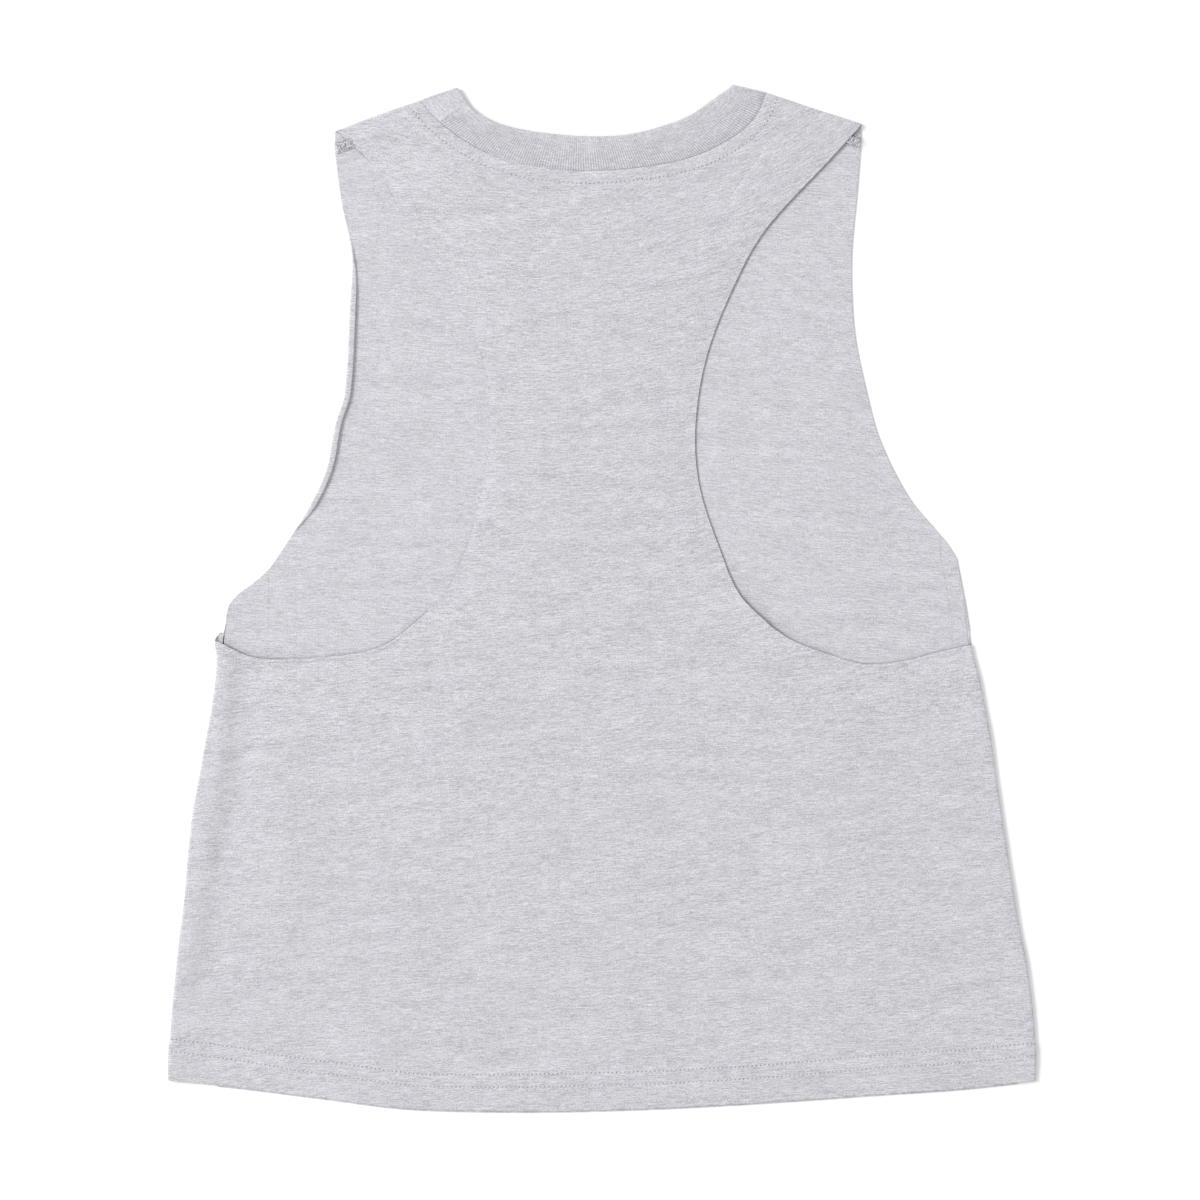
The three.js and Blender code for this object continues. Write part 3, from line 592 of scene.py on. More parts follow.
def back_height(x, y):
    """Height of the upper layer's middle surface."""
    from_neck = np.hypot(x - NECK_OVAL["x"], (y - NECK_OVAL["y"]) * NECK_OVAL["stretch"])
    puffs = LEFT_SIDE_PUFF * bump(x - left_fold(y), SIDE_PUFF_WIDTH)
    puffs = puffs + RIGHT_SIDE_PUFF * bump(right_fold(y) - x, SIDE_PUFF_WIDTH)
    height = (
        BACK_REST
        + BACK_HEM_RISE * hem_share(x, y)
        + BACK_SHOULDER_RISE * smooth(y, SHOULDER_RISE_FROM, SHOULDER_RISE_TO)
        + BACK_NECK_RISE * (1 - smooth(from_neck, NECK_OVAL["full"], NECK_OVAL["none"]))
        + puffs * (1 - smooth(y, SIDE_PUFF_FADE_FROM, SIDE_PUFF_FADE_TO))
    )
    wall = mix(JERSEY, HEM_PLIES, hem_share(x, y))
    lowest = wall * (1 + edge_thinness(x, y) / 2) + front_rise(x, y) + LAYER_CLEARANCE
    down = edge_down(x, y)
    height = mix(height + ripple_height(x, y), lowest, down)
    height = height + forms_height(BACK_FORMS, x, y) + lip_height(x, y) + sewing_height(x, y)
    return np.maximum(height, lowest)


def course_rise(tilt_at):
    """How far a knitted course has risen from the garment's middle line, from its tilt in degrees."""
    xs, ys = COURSE_GRID_X, COURSE_GRID_Y
    slope = np.tan(np.radians(tilt_at(xs[None, :], ys[:, None])))
    steps = (slope[:, 1:] + slope[:, :-1]) / 2 * np.diff(xs)
    rise = np.concatenate([np.zeros((len(ys), 1)), np.cumsum(steps, axis=1)], axis=1)
    rise -= rise[:, [len(xs) // 2]]

    def rise_at(x, y):
        column = np.clip((x - xs[0]) / (xs[1] - xs[0]), 0, len(xs) - 1.001)
        row = np.clip((y - ys[0]) / (ys[1] - ys[0]), 0, len(ys) - 1.001)
        i, j = row.astype(int), column.astype(int)
        u, v = column - j, row - i
        return mix(mix(rise[i, j], rise[i, j + 1], u), mix(rise[i + 1, j], rise[i + 1, j + 1], u), v)

    return rise_at


def back_tilt(x, y):
    """Tilt of the back's courses: steady over the body, and fanned out over the racer and the neck."""
    hem = np.interp(x, (-210, -120, 0, 220), (8, 3, 3, 3))
    body = np.interp(x, (-220, -80, 0, 220), (5, 7, 5, 4))
    racer = np.interp(x, (-140, -84, -48, -11, 25, 61, 98), (-4, -3, -1, 4, 9, 10, 13))
    neck = np.interp(x, (-140, -84, -48, -11, 25, 61, 98, 135), (-4, -5, -4, 4, 13, 17, 27, 29))
    tilt = mix(hem, body, smooth(y, -250, -130))
    tilt = mix(tilt, racer, smooth(y, -90, 110))
    return mix(tilt, neck, smooth(y, 120, 215))


def front_tilt(x, y):
    return np.interp(x + 0 * y, (-130, 130), (-1, -5))


back_course = course_rise(back_tilt)
front_course = course_rise(front_tilt)


class Cloth:
    """Cloth as a middle surface of grids of points, which build() gives its wall and rounded edges."""

    def __init__(self):
        self.points = []
        self.faces = []
        self.count = 0

    def grid(self, x, y, z, wall, cloth, seams=(0.0, -1.0), normal=(0, 0, 0), rim=FREE_RIM):
        """Adds a grid of points and gives their numbers. cloth and seams are the two maps, in millimetres.
        Without a normal, a point takes the mean of its faces."""
        shape = np.shape(x)
        columns = (x, y, z, wall, *cloth, *seams, *normal, rim)
        self.points.append(np.stack([np.broadcast_to(c, shape).ravel() for c in columns], axis=1))
        numbers = self.count + np.arange(np.size(x)).reshape(shape)
        self.count += np.size(x)
        return numbers

    def cover(self, numbers):
        """Adds the faces of a grid of point numbers, whose rows and columns turn the faces outwards."""
        n = numbers
        self.faces.append(np.stack([n[:-1, :-1], n[:-1, 1:], n[1:, 1:], n[1:, :-1]], axis=-1).reshape(-1, 4))

    def build(self, name, outer, inner, cut=None):
        """Makes the object, with one finish on the side that the grids face, one on the other side, and
        perhaps a darker one that paints shade on the cut edges that show on the upper layer."""
        data, faces = np.concatenate(self.points), np.concatenate(self.faces)
        at, wall, maps, given, rim = data[:, :3], data[:, 3:4], data[:, 4:8], data[:, 8:11], data[:, 11:12]
        a, b, c, d = (at[faces[:, k]] for k in range(4))
        turn = np.cross(c - a, d - b)
        mean = np.zeros_like(at)
        for k in range(4):
            np.add.at(mean, faces[:, k], turn)
        normal = np.where(np.any(given != 0, axis=1)[:, None], given, mean)
        normal = normal / np.linalg.norm(normal, axis=1)[:, None]

        count = len(at)
        edges = np.concatenate([faces[:, [k, (k + 1) % 4]] for k in range(4)])
        free = edges[~np.isin(edges[:, 0] * count + edges[:, 1], edges[:, 1] * count + edges[:, 0])]
        side = np.cross(at[free[:, 1]] - at[free[:, 0]], normal[free[:, 0]])
        outward = np.zeros_like(at)
        for k in (0, 1):
            np.add.at(outward, free[:, k], side)
        rim_points = np.unique(free)
        outward = outward[rim_points] / np.linalg.norm(outward[rim_points], axis=1)[:, None]
        place = np.zeros(count, int)
        place[rim_points] = np.arange(len(rim_points))

        half = wall / 2
        rings = [at + normal * half, at - normal * half]
        chain = [free]
        for k in range(1, RIM_STEPS + 1):
            angle = math.pi * k / (RIM_STEPS + 1)
            up = normal[rim_points] * math.cos(angle)
            out = outward * math.sin(angle) * rim[rim_points]
            rings.append(at[rim_points] + (up + out) * half[rim_points])
            chain.append(place[free] + 2 * count + (k - 1) * len(rim_points))
        chain.append(free + count)
        quads = [faces, faces[:, ::-1] + count]
        for upper, lower in zip(chain, chain[1:]):
            quads.append(np.stack([upper[:, 1], upper[:, 0], lower[:, 0], lower[:, 1]], axis=1))
        all_maps = np.concatenate([maps, maps] + [maps[rim_points]] * RIM_STEPS)
        quads = np.concatenate(quads)
        finish = np.zeros(len(quads), int)
        finish[len(faces):2 * len(faces)] = 1
        if cut is None:
            return make_object(name, np.concatenate(rings), quads.tolist(), (outer, inner), all_maps, finish)
        # Painted shade: where the upper layer's raw edges stand over the lower layer, their rims take the
        # darker cut edge finish, except on the quiet stretch of the racer's left side.
        x, y, z = at[free[:, 0]].T
        shows = (z > JERSEY) & (y > CUT_EDGES_ABOVE) & ((x > 0) | (y < QUIET_EDGE[0]) | (y > QUIET_EDGE[1]))
        finish[2 * len(faces):] = np.tile(shows * 2, RIM_STEPS + 1)
        return make_object(name, np.concatenate(rings), quads.tolist(), (outer, inner, cut), all_maps, finish)


def make_object(name, points, faces, materials, maps=None, finish=None):
    """A smooth object from points in millimetres, with its two maps in metres, and each face's material."""
    mesh = bpy.data.meshes.new(name)
    mesh.from_pydata((np.asarray(points) * MM).tolist(), [], faces)
    for material in materials:
        mesh.materials.append(material)
    if finish is not None:
        mesh.polygons.foreach_set("material_index", finish)
    mesh.shade_smooth()
    if maps is not None:
        corners = np.empty(len(mesh.loops), int)
        mesh.loops.foreach_get("vertex_index", corners)
        for k, title in ((0, "cloth"), (2, "seams")):
            layer = mesh.uv_layers.new(name=title)
            layer.data.foreach_set("uv", (maps[corners, k:k + 2] * MM).ravel())
    mesh.validate()
    piece = bpy.data.objects.new(name, mesh)
    bpy.context.scene.collection.objects.link(piece)
    return piece


def seat(piece, slot, *nodes):
    """Puts a piece on the garment's body and hides the nodes that it stands for; slot, its finish, is not
    used.
    """
    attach(piece, "root")
    if nodes:
        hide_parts(*nodes)


class Walls:
    """The cloth's walls in millimetres."""

    def __init__(self, sizes):
        self.jersey = sizes.jersey_wall / MM
        self.hem = sizes.hem_wall / MM
        self.band = sizes.band_wall / MM

    def at(self, x, y):
        return mix(self.jersey, self.hem, hem_share(x, y))

    def left_line(self, y):
        return left_fold(y) + fold_reach(BACK_REST + LEFT_SIDE_PUFF, self.jersey)

    def right_line(self, y):
        return right_fold(y) - fold_reach(BACK_REST + RIGHT_SIDE_PUFF, self.jersey)


def fold_places(line_x, line_y, out, upper, angle, wall):
    """Middle points and normals of the half turn at a fold, from the upper layer to the lower."""
    radius = (upper - wall / 2) / 2
    reach = np.cos(angle) * radius
    normal = (out[0] * np.cos(angle), out[1] * np.cos(angle), np.sin(angle) + 0 * reach)
    return line_x + out[0] * reach, line_y + out[1] * reach, wall / 2 + radius * (1 + np.sin(angle)), normal


def cell_count(length, cell):
    return max(1, round(length / cell))


def column_heights(foot_x, top, count):
    """Heights up columns: the hem's rows, then even ones, then those along the raw edge."""
    foot, top = np.broadcast_arrays(hem_height(np.asarray(foot_x, float)), np.asarray(top, float))
    low = foot + HEM_ROWS[:, None] + hem_drift(foot_x) * smooth(HEM_ROWS, *HEM_DRIFT_FROM)[:, None]
    high = top - EDGE_ROWS[:, None]
    shares = (np.arange(1, count) / count)[:, None]
    return np.vstack([low, mix(low[-1], high[0], shares), high])


def hem_seams(x, y):
    """The seam map over the hem: along it, and above its edge."""
    return x + 0 * y, np.minimum(y - stitch_base(x), NO_SEAM_MARK)


def rows_between(base, top, length, left_edge, right_edge, u):
    """Rows of plan places from above a base row to a top row, with their two ends on the raw edges."""
    count = cell_count(length, CELL)
    v = (np.arange(1, count + 1) / count)[:, None]
    left_y, right_y = mix(base[0, 1], top[0, 1], v), mix(base[-1, 1], top[-1, 1], v)
    left_off = left_edge(left_y) - mix(base[0, 0], top[0, 0], v)
    right_off = right_edge(right_y) - mix(base[-1, 0], top[-1, 0], v)
    x = mix(base[:, 0], top[:, 0], v) + mix(left_off, right_off, u)
    return x, mix(base[:, 1], top[:, 1], v)


class Back:
    """The back panel: the upper layer, turned under at both side folds and over both shoulders."""

    def __init__(self, walls):
        self.walls = walls
        self.cloth = Cloth()
        self.rows = cell_count(LOW_LENGTH, CELL)

    def turned(self, line, inward, table):
        """The columns where the back is turned under at a side, from the fold inwards."""
        width = table[-1, 0]
        even = np.linspace(0, width, cell_count(width, 2) + 1)
        distance = np.union1d(table[:, 0], np.append(even, width - SEAM_CELL))
        top = np.interp(distance, *table.T)
        y = column_heights(line(HEM_CORNER) + inward * distance, top, self.rows)
        x = line(y) + inward * distance
        wall = self.walls.at(x, y)
        rim = np.where(distance < width, FREE_RIM, SEAM_RIM)
        return self.cloth.grid(x, y, wall / 2, wall, (x, y - front_course(x, y)), normal=(0, 0, -1), rim=rim)

    def side_fold(self, line, outward, top_low, top_high, drop):
        """The columns round a side fold, between its lower and upper lines."""
        share = np.arange(1, FOLD_STEPS) / FOLD_STEPS
        angle = mix(-math.pi / 2, math.pi / 2, share)
        top = mix(top_high, top_low, (1 - share) ** drop)
        y = column_heights(line(HEM_CORNER), top, self.rows)
        wall = self.walls.at(line(y), y)
        upper = back_height(line(y), y)
        x, y, z, normal = fold_places(line(y), y, (outward, 0), upper, angle, wall)
        arc = (math.pi / 2 - angle) * (upper - wall / 2) / 2
        u = line(y) + outward * arc
        return self.cloth.grid(x, y, z, wall, (u, y - back_course(line(y), y)), hem_seams(u, y), normal)

    def upper(self):
        """The columns of the upper layer, and how many lie left of the racer's base."""
        walls = self.walls
        base_left, base_right = ARMHOLE_LEFT_LOW[-1], ARMHOLE_RIGHT_LOW[0]
        first, last = walls.left_line(ARMHOLE_LEFT_LOW[0, 1]), walls.right_line(ARMHOLE_RIGHT_LOW[-1, 1])
        left = np.linspace(first, base_left[0], cell_count(base_left[0] - first, CELL) + 1)[:-1]
        right = np.linspace(base_right[0], last, cell_count(last - base_right[0], CELL) + 1)[1:]
        racer = mix(base_left[0], base_right[0], RACER_ACROSS)
        top_x = np.concatenate([left, racer, right])
        racer_y = mix(base_left[1], base_right[1], RACER_ACROSS)
        top_y = np.concatenate([low_left(left), racer_y, low_right(right)])
        share = (top_x - walls.left_line(top_y)) / (walls.right_line(top_y) - walls.left_line(top_y))
        share[0], share[-1] = 0, 1
        foot_x = mix(walls.left_line(HEM_CORNER), walls.right_line(HEM_CORNER), share)
        y = column_heights(foot_x, top_y, self.rows)
        x = mix(walls.left_line(y), walls.right_line(y), share)
        return self.flat(x, y), len(left)

    def flat(self, x, y, normal=(0, 0, 0)):
        """Points of the upper layer at plan places."""
        away, mark = back_neck_seam.near(x, y)
        along_hem, above = hem_seams(x, y)
        by_neck = y > NECK_MAP_FROM
        neck_mark = np.maximum(NECK_MARK - away, NO_SEAM_MARK)
        seams = (np.where(by_neck, mark, along_hem), np.where(by_neck, neck_mark, above))
        course = (x, y - back_course(x, y))
        wall = self.walls.at(x, y) * edge_thinness(x, y)
        return self.cloth.grid(x, y, back_height(x, y), wall, course, seams, normal)

    def racer(self, base_numbers, base):
        """The racer's rows from its base up to the neck and the shoulder folds."""
        yoke_shape = Route(curve_points(racer_top(YOKE_DEPTH, np.arange(YOKE_PARTS + 1) / YOKE_PARTS)))
        yoke, top = yoke_shape.at(RACER_ACROSS), racer_top(0, RACER_ACROSS)
        x, y = rows_between(base, yoke, RACER_LENGTH, racer_left, racer_right, RACER_ACROSS)
        near = (YOKE_ROWS[1:] / YOKE_DEPTH)[:, None]
        x = np.vstack([x, mix(top[:, 0], yoke[:, 0], near)])
        y = np.vstack([y, mix(top[:, 1], yoke[:, 1], near)])
        lower = self.flat(x[:-1], y[:-1])
        crown = self.flat(x[-1:], y[-1:], (0, 0, 1))
        self.cloth.cover(np.vstack([base_numbers, lower, crown]))
        return crown[0], top

    def shoulder(self, crown, top, fold, armhole, from_neck):
        """The turn over one shoulder, from the upper layer round the fold to the seam on the lower layer.
        from_neck is 0 at the neck and 1 at the raw edge, for each column."""
        x, y = top[:, 0], top[:, 1]
        wall = self.walls.jersey
        upper = back_height(x, y)
        angle = np.linspace(math.pi / 2, -math.pi / 2, FOLD_STEPS + 1)[1:, None]
        share = (np.arange(1, FOLD_STEPS + 1) / FOLD_STEPS)[:, None]
        shift = (armhole(y) - fold["tip"][0]) * from_neck * share
        fx, fy, fz, normal = fold_places(x + shift, y + 0 * share, fold["out"], upper, angle, wall)
        arc = (math.pi / 2 - angle) * (upper - wall / 2) / 2
        course = (x + fold["out"][0] * arc, y + fold["out"][1] * arc - back_course(x, y))
        turned = self.cloth.grid(fx, fy, fz, wall, course, normal=normal)
        distance = np.linspace(0, SHOULDER_TURN, 7)[1:, None]
        ly = y - fold["out"][1] * distance
        edge = fold["tip"][0] - fold["out"][0] * distance
        lx = x - fold["out"][0] * distance + (armhole(ly) - edge) * from_neck
        course = (x + 0 * distance, y + arc[-1] + distance - back_course(x, y))
        under = self.cloth.grid(lx, ly, wall / 2, wall, course, normal=(0, 0, -1))
        self.cloth.cover(np.vstack([crown, turned, under]))

    def build(self, face, reverse, cut):
        walls = self.walls
        upper, racer_from = self.upper()
        left = self.turned(walls.left_line, 1, UNDERARM_LEFT)[:, ::-1]
        ends = UNDERARM_LEFT[0, 1], ARMHOLE_LEFT_LOW[0, 1]
        left_fold_part = self.side_fold(walls.left_line, -1, *ends, UNDERARM_DROP_LEFT)
        ends = UNDERARM_RIGHT[0, 1], ARMHOLE_RIGHT_LOW[-1, 1]
        right_fold_part = self.side_fold(walls.right_line, 1, *ends, UNDERARM_DROP_RIGHT)
        right = self.turned(walls.right_line, -1, UNDERARM_RIGHT)
        self.cloth.cover(np.hstack([left, left_fold_part, upper, right_fold_part[:, ::-1], right]))

        base_numbers = upper[-1, racer_from:racer_from + len(RACER_ACROSS)]
        base = mix(ARMHOLE_LEFT_LOW[-1], ARMHOLE_RIGHT_LOW[0], RACER_ACROSS[:, None])
        crown, top = self.racer(base_numbers, base)
        corner = int(np.searchsorted(RACER_ACROSS, NECK_FROM - 1e-6))
        ends = (slice(0, corner + 1), slice(len(crown) - corner - 1, len(crown)))
        left_share = 1 - RACER_ACROSS[ends[0]] / NECK_FROM
        right_share = 1 - (1 - RACER_ACROSS[ends[1]]) / NECK_FROM
        self.shoulder(crown[ends[0]], top[ends[0]], LEFT_SHOULDER, front_armhole_left, left_share)
        self.shoulder(crown[ends[1]], top[ends[1]], RIGHT_SHOULDER, front_armhole_right, right_share)
        return self.cloth.build("back_cloth", face, reverse, cut)


def racer_divisions():
    """Shares across the racer: fine along its raw edges, with one on each end of the neck seam."""
    side = np.linspace(EDGE_SHARES[-1], NECK_FROM, 7)[1:]
    middle = np.linspace(NECK_FROM, 1 - NECK_FROM, 55)[1:-1]
    left = np.concatenate([EDGE_SHARES, side])
    return np.concatenate([left, middle, 1 - left[::-1]])


RACER_ACROSS = racer_divisions()


def top_line(left, right, neck, u):
    """Plan points from the left point to the neck's start, along the neck, and on to the right point."""
    share = (u - NECK_FROM) / (1 - 2 * NECK_FROM)
    inner = neck(np.clip(share, 0, 1))
    start, end = left[1], right[1]
    outer_left = mix(left[0], start, (u / NECK_FROM)[:, None])
    outer_right = mix(right[0], end, ((1 - u) / NECK_FROM)[:, None])
    points = np.where(share[:, None] <= 1e-9, outer_left, inner)
    return np.where(share[:, None] >= 1 - 1e-9, outer_right, points)


def racer_top(inward, u):
    """Plan points of the racer's top, moved down into the cloth by a distance."""

    def neck(share):
        return back_neck_seam.beside(share, SEAM_GAP + inward)

    def corner(share, fold):
        return neck(share) - fold["out"] * inward

    left = (below_tip(LEFT_SHOULDER, racer_left, inward), corner(0.0, LEFT_SHOULDER))
    right = (below_tip(RIGHT_SHOULDER, racer_right, inward), corner(1.0, RIGHT_SHOULDER))
    return top_line(left, right, neck, np.asarray(u))


def roll_section(amount, wall):
    """The rolled armhole edge in steps from its flat end: distance in from the outline, rise, turn and arc.
    A weak roll is a small one, and below its smallest size it only turns up."""
    amount = np.asarray(amount)[..., None]
    size = np.maximum(amount, ROLL_SMALLEST)
    arc = math.pi * ROLL_RADIUS * size
    marks = np.linspace(0, 1, ROLL_STEPS * ROLL_PARTS + 1) * (arc + ROLL_END * size)
    turn = math.pi * np.minimum(marks / arc, 1) * np.minimum(amount / ROLL_SMALLEST, 1)
    step = marks[..., 1:2]
    out = np.cumsum(np.cos(turn), axis=-1) * step - step
    up = np.cumsum(np.sin(turn), axis=-1) * step
    keep = slice(None, None, ROLL_PARTS)
    out, up, turn, marks = out[..., keep], up[..., keep], turn[..., keep], marks[..., keep]
    reach = (out + np.sin(turn) * wall / 2).max(axis=-1, keepdims=True)
    return reach - out, up, turn, marks


def front_across():
    """Shares across the front: fine where it shows in the armholes, and coarse under the racer."""
    left = np.concatenate([np.linspace(0.02, NECK_FROM, 10), np.linspace(NECK_FROM, 0.33, 24)[1:]])
    middle = np.linspace(0.33, 0.66, 11)[1:-1]
    right = np.concatenate([np.linspace(0.66, 1 - NECK_FROM, 25), np.linspace(1 - NECK_FROM, 0.9996, 14)[1:]])
    return np.concatenate([[0], left, middle, right, [1]])


def front_cloth(walls, reverse, face):
    """The front panel: the lower layer, with its left armhole edge rolled up."""
    cloth = Cloth()
    u = front_across()

    def left_seam(y):
        return walls.left_line(y) + LEFT_SIDE_TURN + SEAM_GAP

    def right_seam(y):
        return walls.right_line(y) - RIGHT_SIDE_TURN - SEAM_GAP

    foot = hem_height(mix(left_seam(HEM_CORNER), right_seam(HEM_CORNER), u))
    top = mix(UNDERARM_LEFT[-1, 1], UNDERARM_RIGHT[-1, 1], u)
    shares = np.concatenate([np.linspace(0, 0.68, 24)[:-1], np.linspace(0.68, 1, 30)])[:, None]
    low_y = mix(foot, top, shares)
    low_x = mix(left_seam(low_y), right_seam(low_y), u)

    front_shift = SHOULDER_TURN + SEAM_GAP
    start = front_shift / front_neck_seam.length

    def neck(share):
        return front_neck_seam.beside(mix(start, 1 - start, share), SEAM_GAP)

    left = (below_tip(LEFT_SHOULDER, front_armhole_left, front_shift), neck(0.0))
    right = (below_tip(RIGHT_SHOULDER, front_armhole_right, front_shift), neck(1.0))
    crown = top_line(left, right, neck, u)
    base = np.stack([low_x[-1], low_y[-1]], axis=1)
    high_x, high_y = rows_between(base, crown, FRONT_UPPER_LENGTH, front_armhole_left, front_armhole_right, u)
    x, y = np.vstack([low_x, high_x]), np.vstack([low_y, high_y])

    edge_x, edge_y, next_x, next_y = x[:, :1], y[:, :1], x[:, 1:2], y[:, 1:2]
    amount = smooth(edge_y[:, 0], *ROLL_LOW) * (1 - smooth(edge_y[:, 0], *ROLL_HIGH))
    inside, up, turn, marks = roll_section(amount, walls.jersey)
    roll_x = edge_x + inside
    roll_y = mix(edge_y, next_y, inside / (next_x - edge_x))
    wall = walls.at(roll_x, roll_y)
    rise = front_rise(roll_x, roll_y)
    course = (roll_x[:, :1] - marks, roll_y - front_course(roll_x, roll_y))
    normal = (np.sin(turn), 0 * turn, np.cos(turn))

    def rim(at, seam_top):
        return np.where((at > HEM_CORNER + 5) & (at < seam_top), SEAM_RIM, FREE_RIM)

    left_rim = rim(edge_y, UNDERARM_LEFT[-1, 1])
    rolled = cloth.grid(roll_x, roll_y, wall / 2 + up + rise, wall, course, normal=normal, rim=left_rim)
    x, y = x[:, 1:], y[:, 1:]
    wall = walls.at(x, y)
    course = (x, y - front_course(x, y))
    flat = cloth.grid(x, y, wall / 2 + front_rise(x, y), wall, course, rim=rim(y, UNDERARM_RIGHT[-1, 1]))
    cloth.cover(np.hstack([rolled[:, ::-1], flat]))
    return cloth.build("front_cloth", reverse, face)


def band_section():
    """The band's section: shares of the way from its seam to its folded edge, and half thicknesses of 1 or
    less, first over the top and then back under it."""
    angle = np.linspace(0, math.pi, 19)
    share = 0.5 - 0.5 * np.sign(np.cos(angle)) * np.abs(np.cos(angle)) ** 0.6
    half = np.clip(1 - np.abs(2 * share - 1) ** 9, 0, 1) ** 0.5 * (1 - 0.12 * np.sin(math.pi * share))
    return np.concatenate([share, share[-2:0:-1]]), np.concatenate([half, -half[-2:0:-1]])


def neckband_cloth(walls, material, rib_pitch):
    """The doubled rib band round the neck, as one closed section that runs round the opening."""
    across, half = band_section()
    length = (back_neck_seam.length + back_neck_edge.length) / 2
    front_length = (front_neck_seam.length + front_neck_edge.length) / 2
    back_share = np.linspace(0, 1, BACK_RIB_POINTS * round(length / rib_pitch) + 1)
    front_share = np.linspace(1, 0, FRONT_RIB_POINTS * round(front_length / rib_pitch) + 1)

    def station(seam, edge, z, normal, along):
        """Plan ends, height, normal and place along the band, for each section."""
        count = len(along)
        return np.hstack([
            np.broadcast_to(seam, (count, 2)), np.broadcast_to(edge, (count, 2)),
            np.broadcast_to(np.reshape(z, (-1, 1)), (count, 1)), np.broadcast_to(normal, (count, 3)),
            np.reshape(along, (-1, 1)),
        ])

    def turn(seam, edge, start, end, along):
        fold = shoulder_fold(seam, edge)
        angle = np.linspace(start, end, BAND_FOLD_STEPS + 1)[1:-1]
        radius = (BAND_FOLD_HEIGHT - walls.band / 2) / 2
        shift = np.cos(angle)[:, None] * radius * fold["out"]
        normal = np.column_stack([np.cos(angle)[:, None] * fold["out"], np.sin(angle)])
        z = walls.band / 2 + radius * (1 + np.sin(angle))
        steps = math.pi * radius / BAND_FOLD_STEPS * np.arange(1, BAND_FOLD_STEPS)
        return station(seam + shift, edge + shift, z, normal, along + steps)

    ends = np.abs(2 * back_share - 1)
    back_z = mix(BAND_MIDDLE_HEIGHT, BAND_FOLD_HEIGHT, smooth(ends, BAND_RISE_FROM, BAND_RISE_TO))
    back = station(
        back_neck_seam.at(back_share), back_neck_edge.at(back_share), back_z, (0, 0, 1), back_share * length
    )
    right = turn(back_neck_seam.at(1.0), back_neck_edge.at(1.0), math.pi / 2, -math.pi / 2, length)
    front_along = length + BAND_TURN + (1 - front_share) * front_length
    front_ends = front_neck_seam.at(front_share), front_neck_edge.at(front_share)
    front = station(*front_ends, walls.band / 2, (0, 0, -1), front_along)
    left = turn(back_neck_seam.at(0.0), back_neck_edge.at(0.0), -math.pi / 2, math.pi / 2, front_along[-1])
    ring = np.vstack([back, right, front, left])

    seam, edge, z = ring[:, None, 0:2], ring[:, None, 2:4], ring[:, 4:5]
    normal, along = ring[:, None, 5:8], ring[:, 8:9]
    plan = mix(seam, edge, across[None, :, None])
    on_back = (normal[..., 2] > 0.999) * 1.0
    join_away, join_mark = Route(BAND_JOIN).near(plan[..., 0], plan[..., 1])
    trough_away, _ = Route(BAND_TROUGH).near(plan[..., 0], plan[..., 1])
    join_along = back_neck_seam.near(*BAND_JOIN[0])[1] / back_neck_seam.length * length
    ribbed = 1 - (1 - smooth(along, join_along, join_along + 2)) * on_back
    groove = (0.5 - 0.5 * np.cos(2 * math.pi * along / rib_pitch)) * RIB_DEPTH * ribbed
    groove = groove * np.interp(across, *RIB_FADE)
    thick = half * walls.band / 2
    thick = thick - np.sign(thick) * np.minimum(groove, np.abs(thick) * 0.8)
    is_top = (half > 0)[None, :] * on_back
    for away, (spread, rise) in ((join_away, BAND_JOIN_RELIEF), (trough_away, BAND_TROUGH_RELIEF)):
        thick = thick + is_top * rise * bump(away, spread)
    height = (z + thick * normal[..., 2])[..., None]
    at = np.concatenate([plan + thick[..., None] * normal[..., :2], height], axis=-1)

    rows, columns = at.shape[:2]
    n = np.pad(np.arange(rows * columns).reshape(rows, columns), (0, 1), mode="wrap")
    quads = np.stack([n[:-1, :-1], n[1:, :-1], n[1:, 1:], n[:-1, 1:]], axis=-1).reshape(-1, 4)
    width = np.linalg.norm(edge - seam, axis=-1)
    maps = np.stack(np.broadcast_arrays(along, across * width, ribbed * 100, across * 100), axis=-1)
    return make_object("neckband_cloth", at.reshape(-1, 3), quads.tolist(), (material,), maps.reshape(-1, 4))


def tube(path, radius, sides=6):
    """Points and faces of a round thread along a path, pointed at both ends."""
    path = np.asarray(path, float)
    way = np.gradient(path, axis=0)
    way /= np.linalg.norm(way, axis=1)[:, None]
    side = np.cross(way, (0.0, 0.0, 1.0))
    thin = np.linalg.norm(side, axis=1) < 1e-6
    side[thin] = (1.0, 0.0, 0.0)
    side /= np.linalg.norm(side, axis=1)[:, None]
    up = np.cross(side, way)
    angle = 2 * math.pi * np.arange(sides) / sides
    size = np.full(len(path), radius)
    size[[0, -1]] *= 0.3
    around = side[:, None] * np.cos(angle)[:, None] + up[:, None] * np.sin(angle)[:, None]
    points = path[:, None] + around * size[:, None, None]
    faces = []
    for i in range(len(path) - 1):
        for k in range(sides):
            a, b = i * sides + k, i * sides + (k + 1) % sides
            faces.append((a, b, b + sides, a + sides))
    last = (len(path) - 1) * sides
    faces.append(tuple(range(sides))[::-1])
    faces.append(tuple(last + k for k in range(sides)))
    return points.reshape(-1, 3), faces


def join_tubes(name, paths, radius, material):
    """One object of many threads."""
    points, faces, count = [], [], 0
    for path in paths:
        path_points, path_faces = tube(path, radius)
        points.append(path_points)
        faces.extend(tuple(i + count for i in face) for face in path_faces)
        count += len(path_points)
    return make_object(name, np.vstack(points), faces, (material,))


